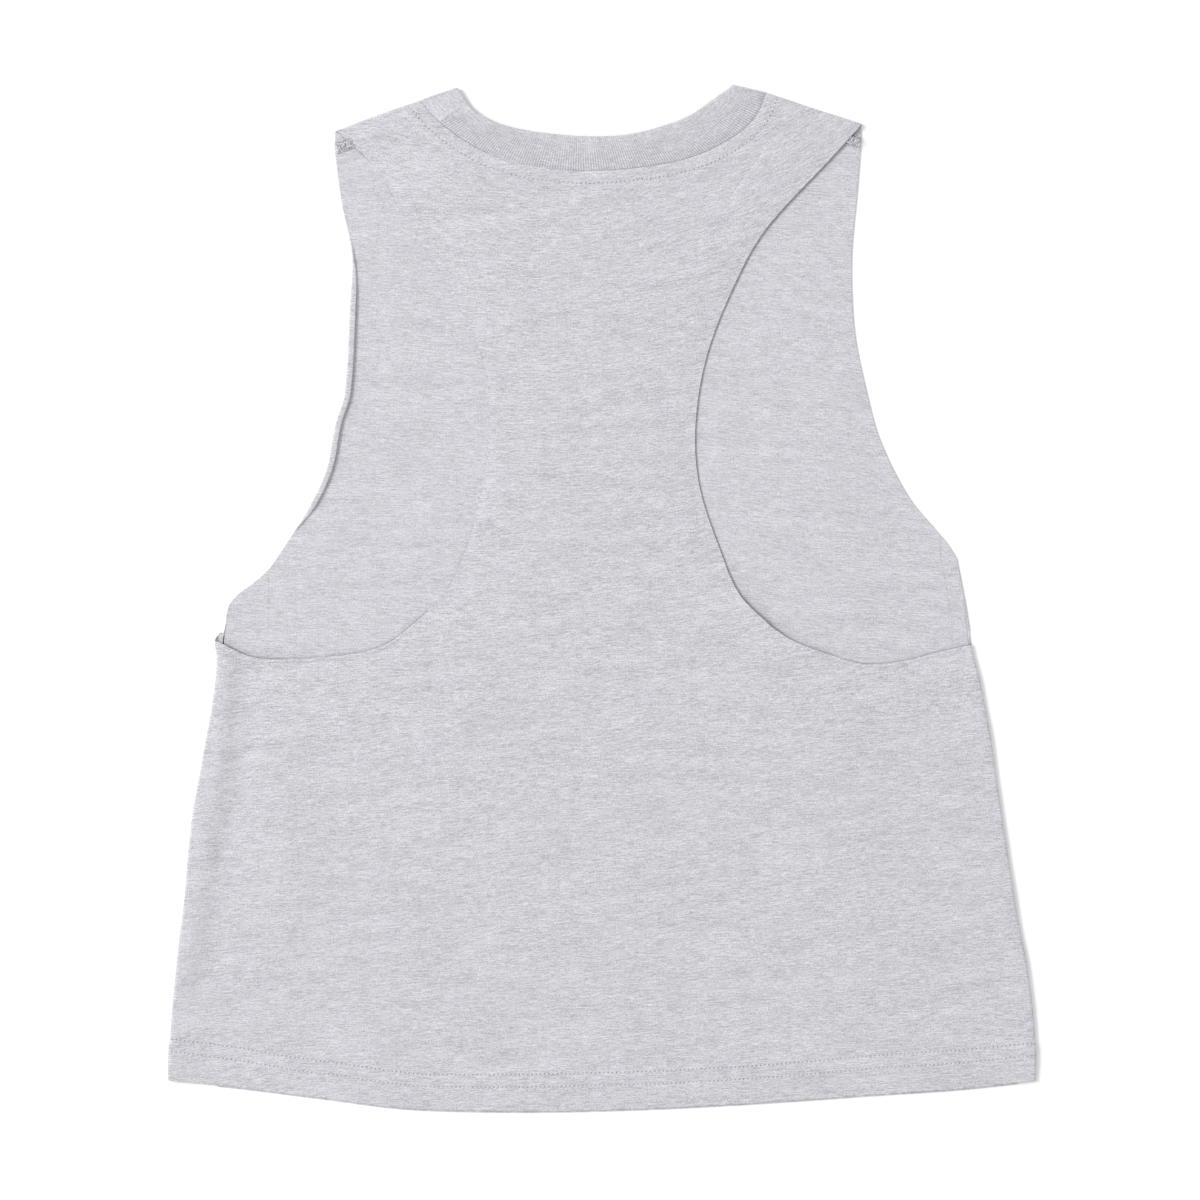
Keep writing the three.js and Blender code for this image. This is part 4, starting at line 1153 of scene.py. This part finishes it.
def stitch_paths(place, start, end, length, surface, rise):
    """Threads of a straight stitch between marks of the seam map, each from one needle hole to the next."""
    rng = np.random.default_rng(11)
    shares = np.array([0.1, 0.2, 0.35, 0.5, 0.65, 0.8, 0.9])
    lift = np.array([-0.5, 0.2, 0.9, 1.0, 0.9, 0.2, -0.5]) * rise
    paths = []
    for hole in np.arange(math.ceil(start / length), math.floor(end / length) - 1) + 0.5:
        at = place((hole + shares) * length)
        way = (at[-1] - at[0]) / np.linalg.norm(at[-1] - at[0])
        aside = (shares - 0.5) * rng.uniform(0.1, 0.7)
        at = at + aside[:, None] * np.array([-way[1], way[0]])
        paths.append(np.column_stack([at, surface(at[:, 0], at[:, 1]) + lift * rng.uniform(0.6, 1.2)]))
    return paths


def hem_stitches(walls, stitch_length, thread_width, material):
    """The two rows of stitches along the hem."""

    def surface(x, y):
        return back_height(x, y) + walls.at(x, y) / 2

    paths = []
    for row in HEM_STITCH_ROWS:

        def place(x, row=row):
            return np.column_stack([x, stitch_base(x) + row])

        left, right = walls.left_line(HEM_CORNER + row), walls.right_line(HEM_CORNER + row)
        paths += stitch_paths(place, left, right, stitch_length, surface, STITCH_RISE)
    return join_tubes("hem_stitches", paths, thread_width / 2, material)


def neck_stitches(walls, stitch_length, thread_width, material):
    """The row of stitches beside the back neck seam."""

    def surface(x, y):
        return back_height(x, y) + walls.jersey / 2

    def place(mark):
        return back_neck_seam.beside(mark / back_neck_seam.length, NECK_STITCH_OUT)

    paths = stitch_paths(place, 0.0, back_neck_seam.length, stitch_length, surface, STITCH_RISE)
    return join_tubes("neck_stitches", paths, thread_width / 2, material)


def shoulder_frame(fold, armhole):
    """Start and direction of a shoulder seam's overlocked allowance, from the raw edge inwards."""
    start = below_tip(fold, armhole, SHOULDER_TURN + OVERLOCK_BELOW)
    along = fold["neck"] - fold["tip"]
    return start, along / np.linalg.norm(along), fold["out"]


def overlock_paths(walls, fold, armhole, rng):
    """Threads of the overlock over a shoulder seam's allowance: loops across it, and runs along its sides."""
    start, along, out = shoulder_frame(fold, armhole)
    base = walls.jersey + ALLOWANCE_WALL

    def place(distance, across, z):
        return np.array([*(start + along * distance + out * across), z])

    paths = []
    for i in range(int(OVERLOCK_LENGTH / OVERLOCK_PITCH)):
        d = 0.4 + i * OVERLOCK_PITCH
        shows = 1 - smooth(d, *OVERLOCK_SHOWS)
        j1, j2, j3 = rng.uniform(-1.1, 1.1, 3) * (0.3 + 0.7 * shows)
        high = base + 0.12 + shows * (OVERLOCK_RISE + 0.3 * j1)
        paths.append([
            place(d, -2.6, base - 0.3), place(d + 0.2, -1.8, high), place(d + 0.5 + j1, 0.2, high + 0.1),
            place(d + 0.9 + j2, 1.9, high), place(d + 1.3, 2.9 + 0.4 * j3, base - 0.1),
        ])
        paths.append([
            place(d + 1.2, -2.4, base - 0.3), place(d + 0.9, -1.4, high - 0.05),
            place(d + 0.3 + j3, 0.4, high - 0.05), place(d - 0.2, 2.0, high - 0.1),
            place(d - 0.5, 2.9, base - 0.2),
        ])
        paths.append([
            place(d - 0.4, 2.8 + 0.5 * j2, base - 0.1),
            place(d + 0.3, 3.1 + 0.3 * j1, base + 0.1 + 0.5 * shows),
            place(d + 1.0, 2.8, base - 0.1),
        ])
        paths.append([
            place(d - 0.3, -2.2, base), place(d + 0.5, -2.3, base + 0.1 + 0.4 * shows),
            place(d + 1.4, -2.2, base),
        ])
    return paths


def allowance_strip(cloth, walls, fold, armhole):
    """The seam allowance that lies on the lower layer under the shoulder's overlock."""
    start, along, out = shoulder_frame(fold, armhole)
    distance = np.linspace(0.2, OVERLOCK_LENGTH, 30)
    across = np.linspace(-OVERLOCK_WIDTH / 2, OVERLOCK_WIDTH / 2, 9)[:, None]
    ripple = 0.3 * np.sin(distance * 2.1 + across)
    x = start[0] + along[0] * distance + out[0] * (across + ripple * 0.4)
    y = start[1] + along[1] * distance + out[1] * (across + ripple * 0.4)
    z = walls.jersey + ALLOWANCE_WALL / 2 + 0.08 * np.cos(math.pi * across / OVERLOCK_WIDTH) + 0.05 * ripple
    flip = 1 if np.cross(along, out) > 0 else -1
    cloth.cover(cloth.grid(x, y, z, ALLOWANCE_WALL, (x, y))[:, ::flip])


class Shader:
    """A material whose nodes are added by short calls."""

    def __init__(self, name):
        self.material = bpy.data.materials.new(name)
        self.material.use_nodes = True
        self.tree = self.material.node_tree
        self.surface = self.tree.nodes["Principled BSDF"]

    def put(self, socket, value):
        if isinstance(value, bpy.types.NodeSocket):
            self.tree.links.new(value, socket)
        else:
            socket.default_value = value

    def node(self, kind, settings=None, **inputs):
        node = self.tree.nodes.new(kind)
        for name, value in (settings or {}).items():
            setattr(node, name, value)
        for name, value in inputs.items():
            self.put(node.inputs[name.replace("_", " ")], value)
        return node

    def math(self, operation, *values):
        node = self.tree.nodes.new("ShaderNodeMath")
        node.operation = operation
        for socket, value in zip(node.inputs, values):
            self.put(socket, value)
        return node.outputs[0]

    def total(self, *values):
        result = values[0]
        for value in values[1:]:
            result = self.math("ADD", result, value)
        return result

    def map(self, name):
        """The two coordinates of one of the cloth's maps, in metres."""
        uv = self.node("ShaderNodeUVMap", {"uv_map": name}).outputs[0]
        parts = self.node("ShaderNodeSeparateXYZ", Vector=uv).outputs
        return parts[0], parts[1]

    def noise(self, u, v, length, width, seed, detail=2.0, roughness=0.5):
        """Noise from about -0.5 to 0.5, drawn out to a length and a width in metres."""
        vector = self.node(
            "ShaderNodeCombineXYZ", X=self.math("DIVIDE", u, length), Y=self.math("DIVIDE", v, width), Z=seed
        ).outputs[0]
        node = self.node("ShaderNodeTexNoise", Vector=vector, Scale=1.0, Detail=detail, Roughness=roughness)
        return self.math("SUBTRACT", node.outputs["Fac"], 0.5)

    def blend(self, share, first, second):
        node = self.node("ShaderNodeMix", {"data_type": "RGBA"})
        self.put(node.inputs["Factor"], share)
        self.put(node.inputs[6], first)
        self.put(node.inputs[7], second)
        return node.outputs[2]


def marl_tone(shader, u, v, flecks):
    """Light and dark fibres of the marl, drawn out along the courses: about 0.5, and 0 to 1."""
    wander = shader.noise(u, v, 0.045, 0.03, 3.0, 1.0)
    v = shader.math("MULTIPLY_ADD", wander, 0.004, v)
    total = 0.5
    for number, (length, width, strength) in enumerate(flecks):
        fleck = shader.noise(u, v, length * MM, width * MM, 11.0 + 13 * number)
        total = shader.math("MULTIPLY_ADD", fleck, strength, total)
    return shader.math("MINIMUM", shader.math("MAXIMUM", total, 0.0), 1.0)


def knit_relief(shader, u, v, reverse):
    """Relief of single jersey: columns of loops on the face, and rows of arcs on the reverse."""
    phase = shader.math("FRACT", shader.math("DIVIDE", u, WALE * MM))
    wale = shader.math("ABSOLUTE", shader.math("SUBTRACT", phase, 0.5))
    slant = -0.35 if reverse else 0.9
    course = shader.math("MULTIPLY_ADD", wale, slant, shader.math("DIVIDE", v, COURSE * MM))
    wave = shader.math("COSINE", shader.math("MULTIPLY", course, 2 * math.pi))
    loop = shader.math("MULTIPLY_ADD", wave, 0.5, 0.5)
    if reverse:
        return loop
    valley = shader.math("MULTIPLY", shader.math("POWER", shader.math("MULTIPLY", wale, 2.0), 3.0), -0.7)
    return shader.math("ADD", loop, valley)


def needle_holes(shader, pitch):
    """Where needle holes dent the cloth and get painted shade: rows over the hem, and one beside the neck
    seam.
    """
    along, away = shader.map("seams")
    phase = shader.math("FRACT", shader.math("DIVIDE", along, pitch))
    aside = shader.math("MULTIPLY", shader.math("SUBTRACT", phase, 0.5), pitch)
    across = 1.0
    for row in (*HEM_STITCH_ROWS, NECK_MARK - NECK_STITCH_OUT):
        from_row = shader.math("ABSOLUTE", shader.math("SUBTRACT", away, row * MM))
        across = shader.math("MINIMUM", across, from_row)
    square = shader.math("MULTIPLY_ADD", aside, aside, shader.math("MULTIPLY", across, across))
    share = shader.math("DIVIDE", shader.math("SQRT", square), HOLE_RADIUS * MM)
    return shader.math("MAXIMUM", shader.math("SUBTRACT", 1.0, share), 0.0)


def finish_knit(shader, color, relief_height, strength, depth, fuzz, roughness):
    """Gives a knitted cloth its colour, its relief and its soft sheen."""
    dent = shader.node("ShaderNodeBump", Strength=strength, Distance=depth, Height=relief_height)
    shader.put(shader.surface.inputs["Base Color"], color)
    shader.put(shader.surface.inputs["Roughness"], shader.math("MULTIPLY_ADD", fuzz, 0.1, roughness))
    shader.put(shader.surface.inputs["Normal"], dent.outputs[0])
    shader.surface.inputs["Specular IOR Level"].default_value = 0.2
    shader.surface.inputs["Sheen Weight"].default_value = 0.12
    shader.surface.inputs["Sheen Roughness"].default_value = 0.6
    return shader.material


def jersey_material(name, light, dark, reverse, pitch):
    """Grey marl single jersey, on its face or its reverse."""
    shader = Shader(name)
    u, v = shader.map("cloth")
    tone = marl_tone(shader, u, v, JERSEY_MARL)
    color = shader.blend(tone, (*dark, 1), (*light, 1))
    holes = needle_holes(shader, pitch)
    # Painted shade in the needle holes: the holes' dark colour is mixed in, unevenly, where the holes are.
    uneven = shader.math("MULTIPLY_ADD", shader.noise(u, v, 0.004, 0.004, 90.0), 3.0, 1.05)
    shade = shader.math("MULTIPLY", holes, shader.math("MAXIMUM", uneven, 0.25))
    color = shader.blend(shader.math("MINIMUM", shade, HOLE_SHADE_DARKEST), color, HOLE_SHADE_COLOR)
    fuzz = shader.noise(u, v, 0.0007, 0.0005, 71.0, 3.0, 0.6)
    height = shader.total(
        knit_relief(shader, u, v, reverse),
        shader.math("MULTIPLY", fuzz, 1.2),
        shader.math("MULTIPLY", tone, 0.6),
        shader.math("MULTIPLY", holes, -2.0),
    )
    return finish_knit(shader, color, height, 0.55, 0.00016, fuzz, 0.93)


def rib_material(light, dark, rib_pitch):
    """Grey marl rib knit: fine ribs across the band, with painted shade in their grooves."""
    shader = Shader("Rib knit")
    u, v = shader.map("cloth")
    ribbed, across = shader.map("seams")
    marl = marl_tone(shader, u, v, RIB_MARL)
    # Painted shade: the tone darkens along each rib's groove, most near the seam and in patches.
    wave = shader.math("COSINE", shader.math("MULTIPLY", u, 2 * math.pi / rib_pitch))
    groove = shader.math("MULTIPLY_ADD", wave, -0.5, 0.5)
    fade = shader.math("MULTIPLY_ADD", across, -9.0, 1.25)
    patchy = shader.math("MULTIPLY_ADD", shader.noise(u, v, 0.03, 0.008, 7.0), 1.2, fade)
    patchy = shader.math("MAXIMUM", patchy, 0.12)
    amount = shader.math("MULTIPLY", shader.math("MULTIPLY", ribbed, 10.0), patchy)
    strength = shader.math("MULTIPLY", amount, 0.57)
    shade = shader.math("MULTIPLY", shader.math("SUBTRACT", groove, 0.16), strength)
    tone = shader.math("SUBTRACT", marl, shade)
    color = shader.blend(shader.math("MAXIMUM", tone, 0.0), (*dark, 1), (*light, 1))
    fuzz = shader.noise(u, v, 0.0006, 0.0006, 77.0, 3.0, 0.6)
    courses = shader.math("COSINE", shader.math("DIVIDE", v, COURSE * MM / (2 * math.pi)))
    height = shader.total(
        shader.math("MULTIPLY", courses, 0.35),
        shader.math("MULTIPLY", fuzz, 1.2),
        shader.math("MULTIPLY", groove, -0.6),
    )
    return finish_knit(shader, color, height, 0.5, 0.00014, fuzz, 0.92)


def thread_material(name, color, shade, grain, contrast):
    """Spun thread, with its twist, and darker stretches of a grain's length. The colour also follows the
    twist, as painted shade of its grooves, and on the overlock the dark stretches are painted shade between
    its loops.
    """
    shader = Shader(name)
    place = shader.node("ShaderNodeTexCoord").outputs["Object"]
    x, y, z = shader.node("ShaderNodeSeparateXYZ", Vector=place).outputs
    slant = shader.total(x, y, z)
    twist = shader.math("SINE", shader.math("MULTIPLY", slant, 2 * math.pi / THREAD_TWIST))
    fibre = shader.node("ShaderNodeTexNoise", Vector=place, Scale=1 / grain, Detail=2.0).outputs["Fac"]
    share = shader.math("MULTIPLY_ADD", shader.math("SUBTRACT", fibre, 0.46), contrast, 0.5)
    # Painted shade of the twist: the colour lightens and darkens with the twist's ridges and grooves.
    share = shader.math("MULTIPLY_ADD", twist, 0.12, share)
    share = shader.math("MINIMUM", shader.math("MAXIMUM", share, 0.0), 1.0)
    darker = tuple(shade * c for c in color)
    shader.put(shader.surface.inputs["Base Color"], shader.blend(share, (*darker, 1), (*color, 1)))
    shader.put(shader.surface.inputs["Roughness"], shader.math("MULTIPLY_ADD", fibre, 0.2, 0.6))
    dent = shader.node("ShaderNodeBump", Strength=0.4, Distance=0.00005, Height=twist)
    shader.put(shader.surface.inputs["Normal"], dent.outputs[0])
    return shader.material


def floor_material(color):
    """A smooth pale board with the faintest mottle."""
    shader = Shader("Pale board")
    place = shader.node("ShaderNodeTexCoord").outputs["Object"]
    mottle = shader.node("ShaderNodeTexNoise", Vector=place, Scale=9.0, Detail=3.0).outputs["Fac"]
    darker = tuple(0.985 * c for c in color)
    shader.put(shader.surface.inputs["Base Color"], shader.blend(mottle, (*darker, 1), (*color, 1)))
    shader.surface.inputs["Roughness"].default_value = 0.9
    shader.surface.inputs["Specular IOR Level"].default_value = 0.1
    return shader.material


def shared_material(context, key):
    """One of the garment's materials, made from the panel's colours when it is first asked for."""
    names = {
        "face": "Marl jersey face", "reverse": "Marl jersey reverse", "cut": "Marl jersey cut edge painted shade",
        "rib": "Rib knit", "thread": "Sewing thread", "overlock": "Overlock thread with painted shade",
    }
    found = bpy.data.materials.get(names[key])
    if found:
        return found
    colours, sizes = context.scene.tank_top_colours, context.scene.tank_top_sizes
    if key == "rib":
        return rib_material(tuple(colours.rib_light), tuple(colours.rib_dark), sizes.rib_pitch)
    if key == "thread":
        return thread_material(names[key], tuple(colours.thread), shade=0.72, grain=0.0004, contrast=1.0)
    if key == "overlock":
        # The overlock's strong dark grains are painted shade between its loops.
        return thread_material(names[key], tuple(colours.thread), shade=0.42, grain=0.0009, contrast=5.0)
    light, dark = np.array(colours.jersey_light), np.array(colours.jersey_dark)
    if key == "reverse":
        light, dark = mix(light, dark, REVERSE_SOFTER), mix(dark, light, REVERSE_SOFTER)
    # The cut edge finish is the jersey darkened, as painted shade along the upper layer's raw edges.
    if key == "cut":
        light, dark = light * CUT_EDGE_SHADE, dark * CUT_EDGE_SHADE
    return jersey_material(names[key], tuple(light), tuple(dark), key == "reverse", sizes.stitch_length)


def length_property(name, description, default):
    return bpy.props.FloatProperty(
        name=name, description=description, default=default, min=0.0, precision=4, subtype="DISTANCE",
        unit="LENGTH",
    )


def color_property(name, description, default):
    return bpy.props.FloatVectorProperty(
        name=name, description=description, default=default, min=0.0, max=1.0, size=3, subtype="COLOR"
    )


class TankTopSizes(bpy.types.PropertyGroup):
    """Sizes of the cloth and the sewing."""

    jersey_wall: length_property("Jersey", "Thickness of the jersey", JERSEY * MM)
    hem_wall: length_property("Hem", "Thickness of the hem's two plies", HEM_PLIES * MM)
    band_wall: length_property("Neckband", "Thickness of the doubled rib band", 0.0017)
    rib_pitch: length_property("Rib pitch", "Distance from one rib of the band to the next", 0.0012)
    stitch_length: length_property("Stitch length", "Distance between two needle holes", 0.0022)
    thread_width: length_property("Thread", "Width of the sewing thread", 0.00042)


class TankTopColours(bpy.types.PropertyGroup):
    """Colours of the cloth, the thread and the board."""

    jersey_light: color_property("Jersey light", "Light fibres of the marl jersey", (0.79, 0.787, 0.836))
    jersey_dark: color_property("Jersey dark", "Dark fibres of the marl jersey", (0.42, 0.418, 0.452))
    rib_light: color_property("Rib light", "Light fibres of the rib knit", (0.79, 0.784, 0.832))
    rib_dark: color_property("Rib dark", "Dark fibres of the rib knit", (0.42, 0.416, 0.45))
    thread: color_property("Thread", "Sewing thread", (0.84, 0.84, 0.88))
    board: color_property("Board", "Surface that the garment lies on", (1.0, 1.0, 1.0))


class TankTopStage(bpy.types.PropertyGroup):
    """Light and camera."""

    view_width: length_property("View width", "Width of what the camera sees at the cloth", 0.624)
    lens: bpy.props.FloatProperty(
        name="Lens", description="Focal length", default=85.0, min=1.0, unit="CAMERA",
    )
    fill: bpy.props.FloatProperty(
        name="Fill", description="Strength of the light from all round", default=0.73, min=0.0,
    )
    key: bpy.props.FloatProperty(
        name="Key", description="Power of the large lamp", default=133.0, min=0.0, unit="POWER",
    )


class TANKTOP_OT_stage(bpy.types.Operator):
    """Make the pale board, the soft light and the camera straight above"""

    bl_idname = "tanktop.stage"
    bl_label = "Stage"

    def execute(self, context):
        stage, colours = context.scene.tank_top_stage, context.scene.tank_top_colours
        scene = context.scene
        scene.view_settings.view_transform = "Standard"

        camera_data = bpy.data.cameras.new("Camera")
        camera_data.lens = stage.lens
        camera_data.sensor_width = 36.0
        camera = bpy.data.objects.new("Camera", camera_data)
        distance = stage.view_width * stage.lens / camera_data.sensor_width
        camera.location = (*VIEW_MIDDLE, distance + BACK_REST * MM)
        scene.collection.objects.link(camera)
        scene.camera = camera

        world = bpy.data.worlds.new("Soft light")
        world.use_nodes = True
        background = world.node_tree.nodes["Background"]
        background.inputs["Color"].default_value = (1.0, 1.0, 1.0, 1.0)
        background.inputs["Strength"].default_value = stage.fill
        scene.world = world

        lamp_data = bpy.data.lights.new("Key light", "AREA")
        lamp_data.shape = "DISK"
        lamp_data.size = LAMP_WIDTH
        lamp_data.energy = stage.key
        lamp = bpy.data.objects.new("Key light", lamp_data)
        lamp.location = LAMP_PLACE
        aim = -lamp.location.normalized()
        lamp.rotation_euler = aim.to_track_quat("-Z", "Y").to_euler()
        scene.collection.objects.link(lamp)

        half = BOARD_HALF
        corners = [(-half, -half, 0), (half, -half, 0), (half, half, 0), (-half, half, 0)]
        board = bpy.data.meshes.new("board")
        board.from_pydata(corners, [], [(0, 1, 2, 3)])
        board.materials.append(floor_material(tuple(colours.board)))
        floor = bpy.data.objects.new("board", board)
        floor.location.z = -BOARD_DROP
        scene.collection.objects.link(floor)
        return {"FINISHED"}


class TANKTOP_OT_front(bpy.types.Operator):
    """Make the front panel, the lower layer that shows in the armholes"""

    bl_idname = "tanktop.front"
    bl_label = "Front panel"

    def execute(self, context):
        finishes = shared_material(context, "reverse"), shared_material(context, "face")
        piece = front_cloth(Walls(context.scene.tank_top_sizes), *finishes)
        seat(piece, "jersey", "front_panel")
        return {"FINISHED"}


class TANKTOP_OT_back(bpy.types.Operator):
    """Make the back panel, the upper layer with its racer"""

    bl_idname = "tanktop.back"
    bl_label = "Back panel"

    def execute(self, context):
        finishes = [shared_material(context, key) for key in ("face", "reverse", "cut")]
        piece = Back(Walls(context.scene.tank_top_sizes)).build(*finishes)
        seat(piece, "jersey", "back_panel")
        return {"FINISHED"}


class TANKTOP_OT_neckband(bpy.types.Operator):
    """Make the doubled rib band round the neck"""

    bl_idname = "tanktop.neckband"
    bl_label = "Neckband"

    def execute(self, context):
        sizes = context.scene.tank_top_sizes
        piece = neckband_cloth(Walls(sizes), shared_material(context, "rib"), sizes.rib_pitch / MM)
        seat(piece, "rib", "neckband")
        return {"FINISHED"}


class TANKTOP_OT_stitches(bpy.types.Operator):
    bl_idname = "tanktop.stitches"
    bl_label = "Stitches"

    def execute(self, context):
        sizes = context.scene.tank_top_sizes
        walls, thread = Walls(sizes), shared_material(context, "thread")
        length, width = sizes.stitch_length / MM, sizes.thread_width / MM
        pieces = [hem_stitches(walls, length, width, thread), neck_stitches(walls, length, width, thread)]
        for piece in pieces:
            seat(piece, "jersey")
        return {"FINISHED"}


class TANKTOP_OT_shoulders(bpy.types.Operator):
    """Make the shoulder seams' overlocked allowances, which show at the two tips"""

    bl_idname = "tanktop.shoulders"
    bl_label = "Shoulder seams"

    def execute(self, context):
        sizes = context.scene.tank_top_sizes
        walls = Walls(sizes)
        rng = np.random.default_rng(7)
        strips, paths = Cloth(), []
        for fold, armhole in ((LEFT_SHOULDER, front_armhole_left), (RIGHT_SHOULDER, front_armhole_right)):
            allowance_strip(strips, walls, fold, armhole)
            paths += overlock_paths(walls, fold, armhole, rng)
        finish = shared_material(context, "reverse")
        seat(strips.build("shoulder_allowances", finish, finish), "jersey")
        finish = shared_material(context, "overlock")
        seat(join_tubes("shoulder_overlock", paths, sizes.thread_width / MM / 2, finish), "jersey")
        return {"FINISHED"}


OPERATORS = (
    TANKTOP_OT_stage, TANKTOP_OT_front, TANKTOP_OT_back, TANKTOP_OT_neckband, TANKTOP_OT_stitches,
    TANKTOP_OT_shoulders,
)


class TANKTOP_PT_panel(bpy.types.Panel):
    """Sizes, colours and steps of the tank top"""

    bl_label = "Tank Top"
    bl_idname = "TANKTOP_PT_panel"
    bl_space_type = "VIEW_3D"
    bl_region_type = "UI"
    bl_category = "Tank Top"

    def draw(self, context):
        scene = context.scene
        for group in (scene.tank_top_sizes, scene.tank_top_colours, scene.tank_top_stage):
            box = self.layout.box()
            for name in group.__annotations__:
                box.prop(group, name)
        for operator in OPERATORS:
            self.layout.operator(operator.bl_idname)


GROUPS = (
    ("tank_top_sizes", TankTopSizes), ("tank_top_colours", TankTopColours), ("tank_top_stage", TankTopStage),
)


def register():
    for name, group in GROUPS:
        bpy.utils.register_class(group)
        setattr(bpy.types.Scene, name, bpy.props.PointerProperty(type=group))
    for item in (*OPERATORS, TANKTOP_PT_panel):
        bpy.utils.register_class(item)


def unregister():
    for item in (TANKTOP_PT_panel, *reversed(OPERATORS)):
        bpy.utils.unregister_class(item)
    for name, group in reversed(GROUPS):
        delattr(bpy.types.Scene, name)
        bpy.utils.unregister_class(group)


def main():
    register()
    for name in ("stage", "front", "back", "neckband", "stitches", "shoulders"):
        getattr(bpy.ops.tanktop, name)()


if __name__ == "__main__":
    main()
